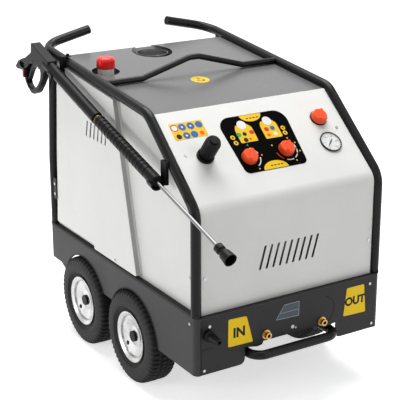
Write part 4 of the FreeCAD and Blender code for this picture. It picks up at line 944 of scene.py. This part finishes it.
# lamps, pale world and floor
lightSettings = {
    "key": {"place": (-3.9, -2.3, 3.6), "aim": (0, 0, 0.5), "size": 3.0, "power": 36.0},
    "front": {"place": (1.6, -4.4, 2.2), "aim": (0, 0, 0.5), "size": 3.0, "power": 50.0},
    "left": {"place": (-4.2, 0.9, 0.9), "aim": (0, 0, 0.6), "size": 1.0, "power": 54.0},
    "above": {"place": (0.4, 0.8, 4.2), "aim": (0, 0, 0.5), "size": 3.2, "power": 208.0},
}
surroundings = {"color": (0.92, 0.95, 1.0), "strength": 0.15, "white": 1.0}
floorLook = {
    "half": 9.0,
    "color": (0.88, 0.88, 0.88),
    "rough": 0.9,
    "fade": {"From Min": 1.2, "From Max": 2.4, "To Min": 0.62, "To Max": 1.0},
}


def makeLights(settings):
    for name, look in settings.items():
        data = bpy.data.lights.new(name, "AREA")
        data.size = look["size"]
        data.energy = look["power"]
        lamp = bpy.data.objects.new(name, data)
        scene.collection.objects.link(lamp)
        lamp.location = look["place"]
        ahead = Vector(look["aim"]) - Vector(look["place"])
        lamp.rotation_euler = ahead.to_track_quat("-Z", "Y").to_euler()


def seenDirectly(tree):  # 1 for the camera and for what metal and glass mirror
    path = tree.nodes.new("ShaderNodeLightPath")
    through = path.outputs["Is Transmission Ray"]
    mirrored = mathNode(tree, "MAXIMUM", path.outputs["Is Glossy Ray"], through)
    return mathNode(tree, "MAXIMUM", path.outputs["Is Camera Ray"], mirrored)


def makeWorld(look):
    world = bpy.data.worlds.new("studio")
    world.use_nodes = True
    scene.world = world
    tree = world.node_tree
    plain = tree.nodes["Background"]
    plain.inputs["Color"].default_value = (*look["color"], 1.0)
    plain.inputs["Strength"].default_value = look["strength"]
    white = tree.nodes.new("ShaderNodeBackground")
    white.inputs["Color"].default_value = (1, 1, 1, 1)
    white.inputs["Strength"].default_value = look["white"]
    mix = tree.nodes.new("ShaderNodeMixShader")
    tree.links.new(seenDirectly(tree), mix.inputs[0])
    tree.links.new(plain.outputs[0], mix.inputs[1])
    tree.links.new(white.outputs[0], mix.inputs[2])
    tree.links.new(mix.outputs[0], tree.nodes["World Output"].inputs["Surface"])


def makeFloorMaterial(look):  # fades to white away from the machine, so its shadow stays
    material = bpy.data.materials.new("floor_pale")
    material.use_nodes = True
    tree = material.node_tree
    shader = tree.nodes["Principled BSDF"]
    shader.inputs["Base Color"].default_value = (*look["color"], 1.0)
    shader.inputs["Roughness"].default_value = look["rough"]
    shader.inputs["Specular IOR Level"].default_value = 0.0
    shader.inputs["Emission Color"].default_value = (1, 1, 1, 1)
    coords = tree.nodes.new("ShaderNodeTexCoord")
    length = tree.nodes.new("ShaderNodeVectorMath")
    length.operation = "LENGTH"
    tree.links.new(coords.outputs["Object"], length.inputs[0])
    fade = tree.nodes.new("ShaderNodeMapRange")
    fade.interpolation_type = "SMOOTHSTEP"
    for label, value in look["fade"].items():
        fade.inputs[label].default_value = value
    tree.links.new(length.outputs["Value"], fade.inputs["Value"])
    glow = mathNode(tree, "MULTIPLY", seenDirectly(tree), fade.outputs["Result"])
    tree.links.new(glow, shader.inputs["Emission Strength"])
    return material


def makeFloor(look):
    half = look["half"]
    corners = [(-half, -half, 0), (half, -half, 0), (half, half, 0), (-half, half, 0)]
    mesh = bpy.data.meshes.new("floor")
    mesh.from_pydata(corners, [], [(0, 1, 2, 3)])
    floor = bpy.data.objects.new("floor", mesh)
    scene.collection.objects.link(floor)
    mesh.materials.append(makeFloorMaterial(look))


makeLights(lightSettings)
makeWorld(surroundings)
makeFloor(floorLook)
print("stage: light and floor")
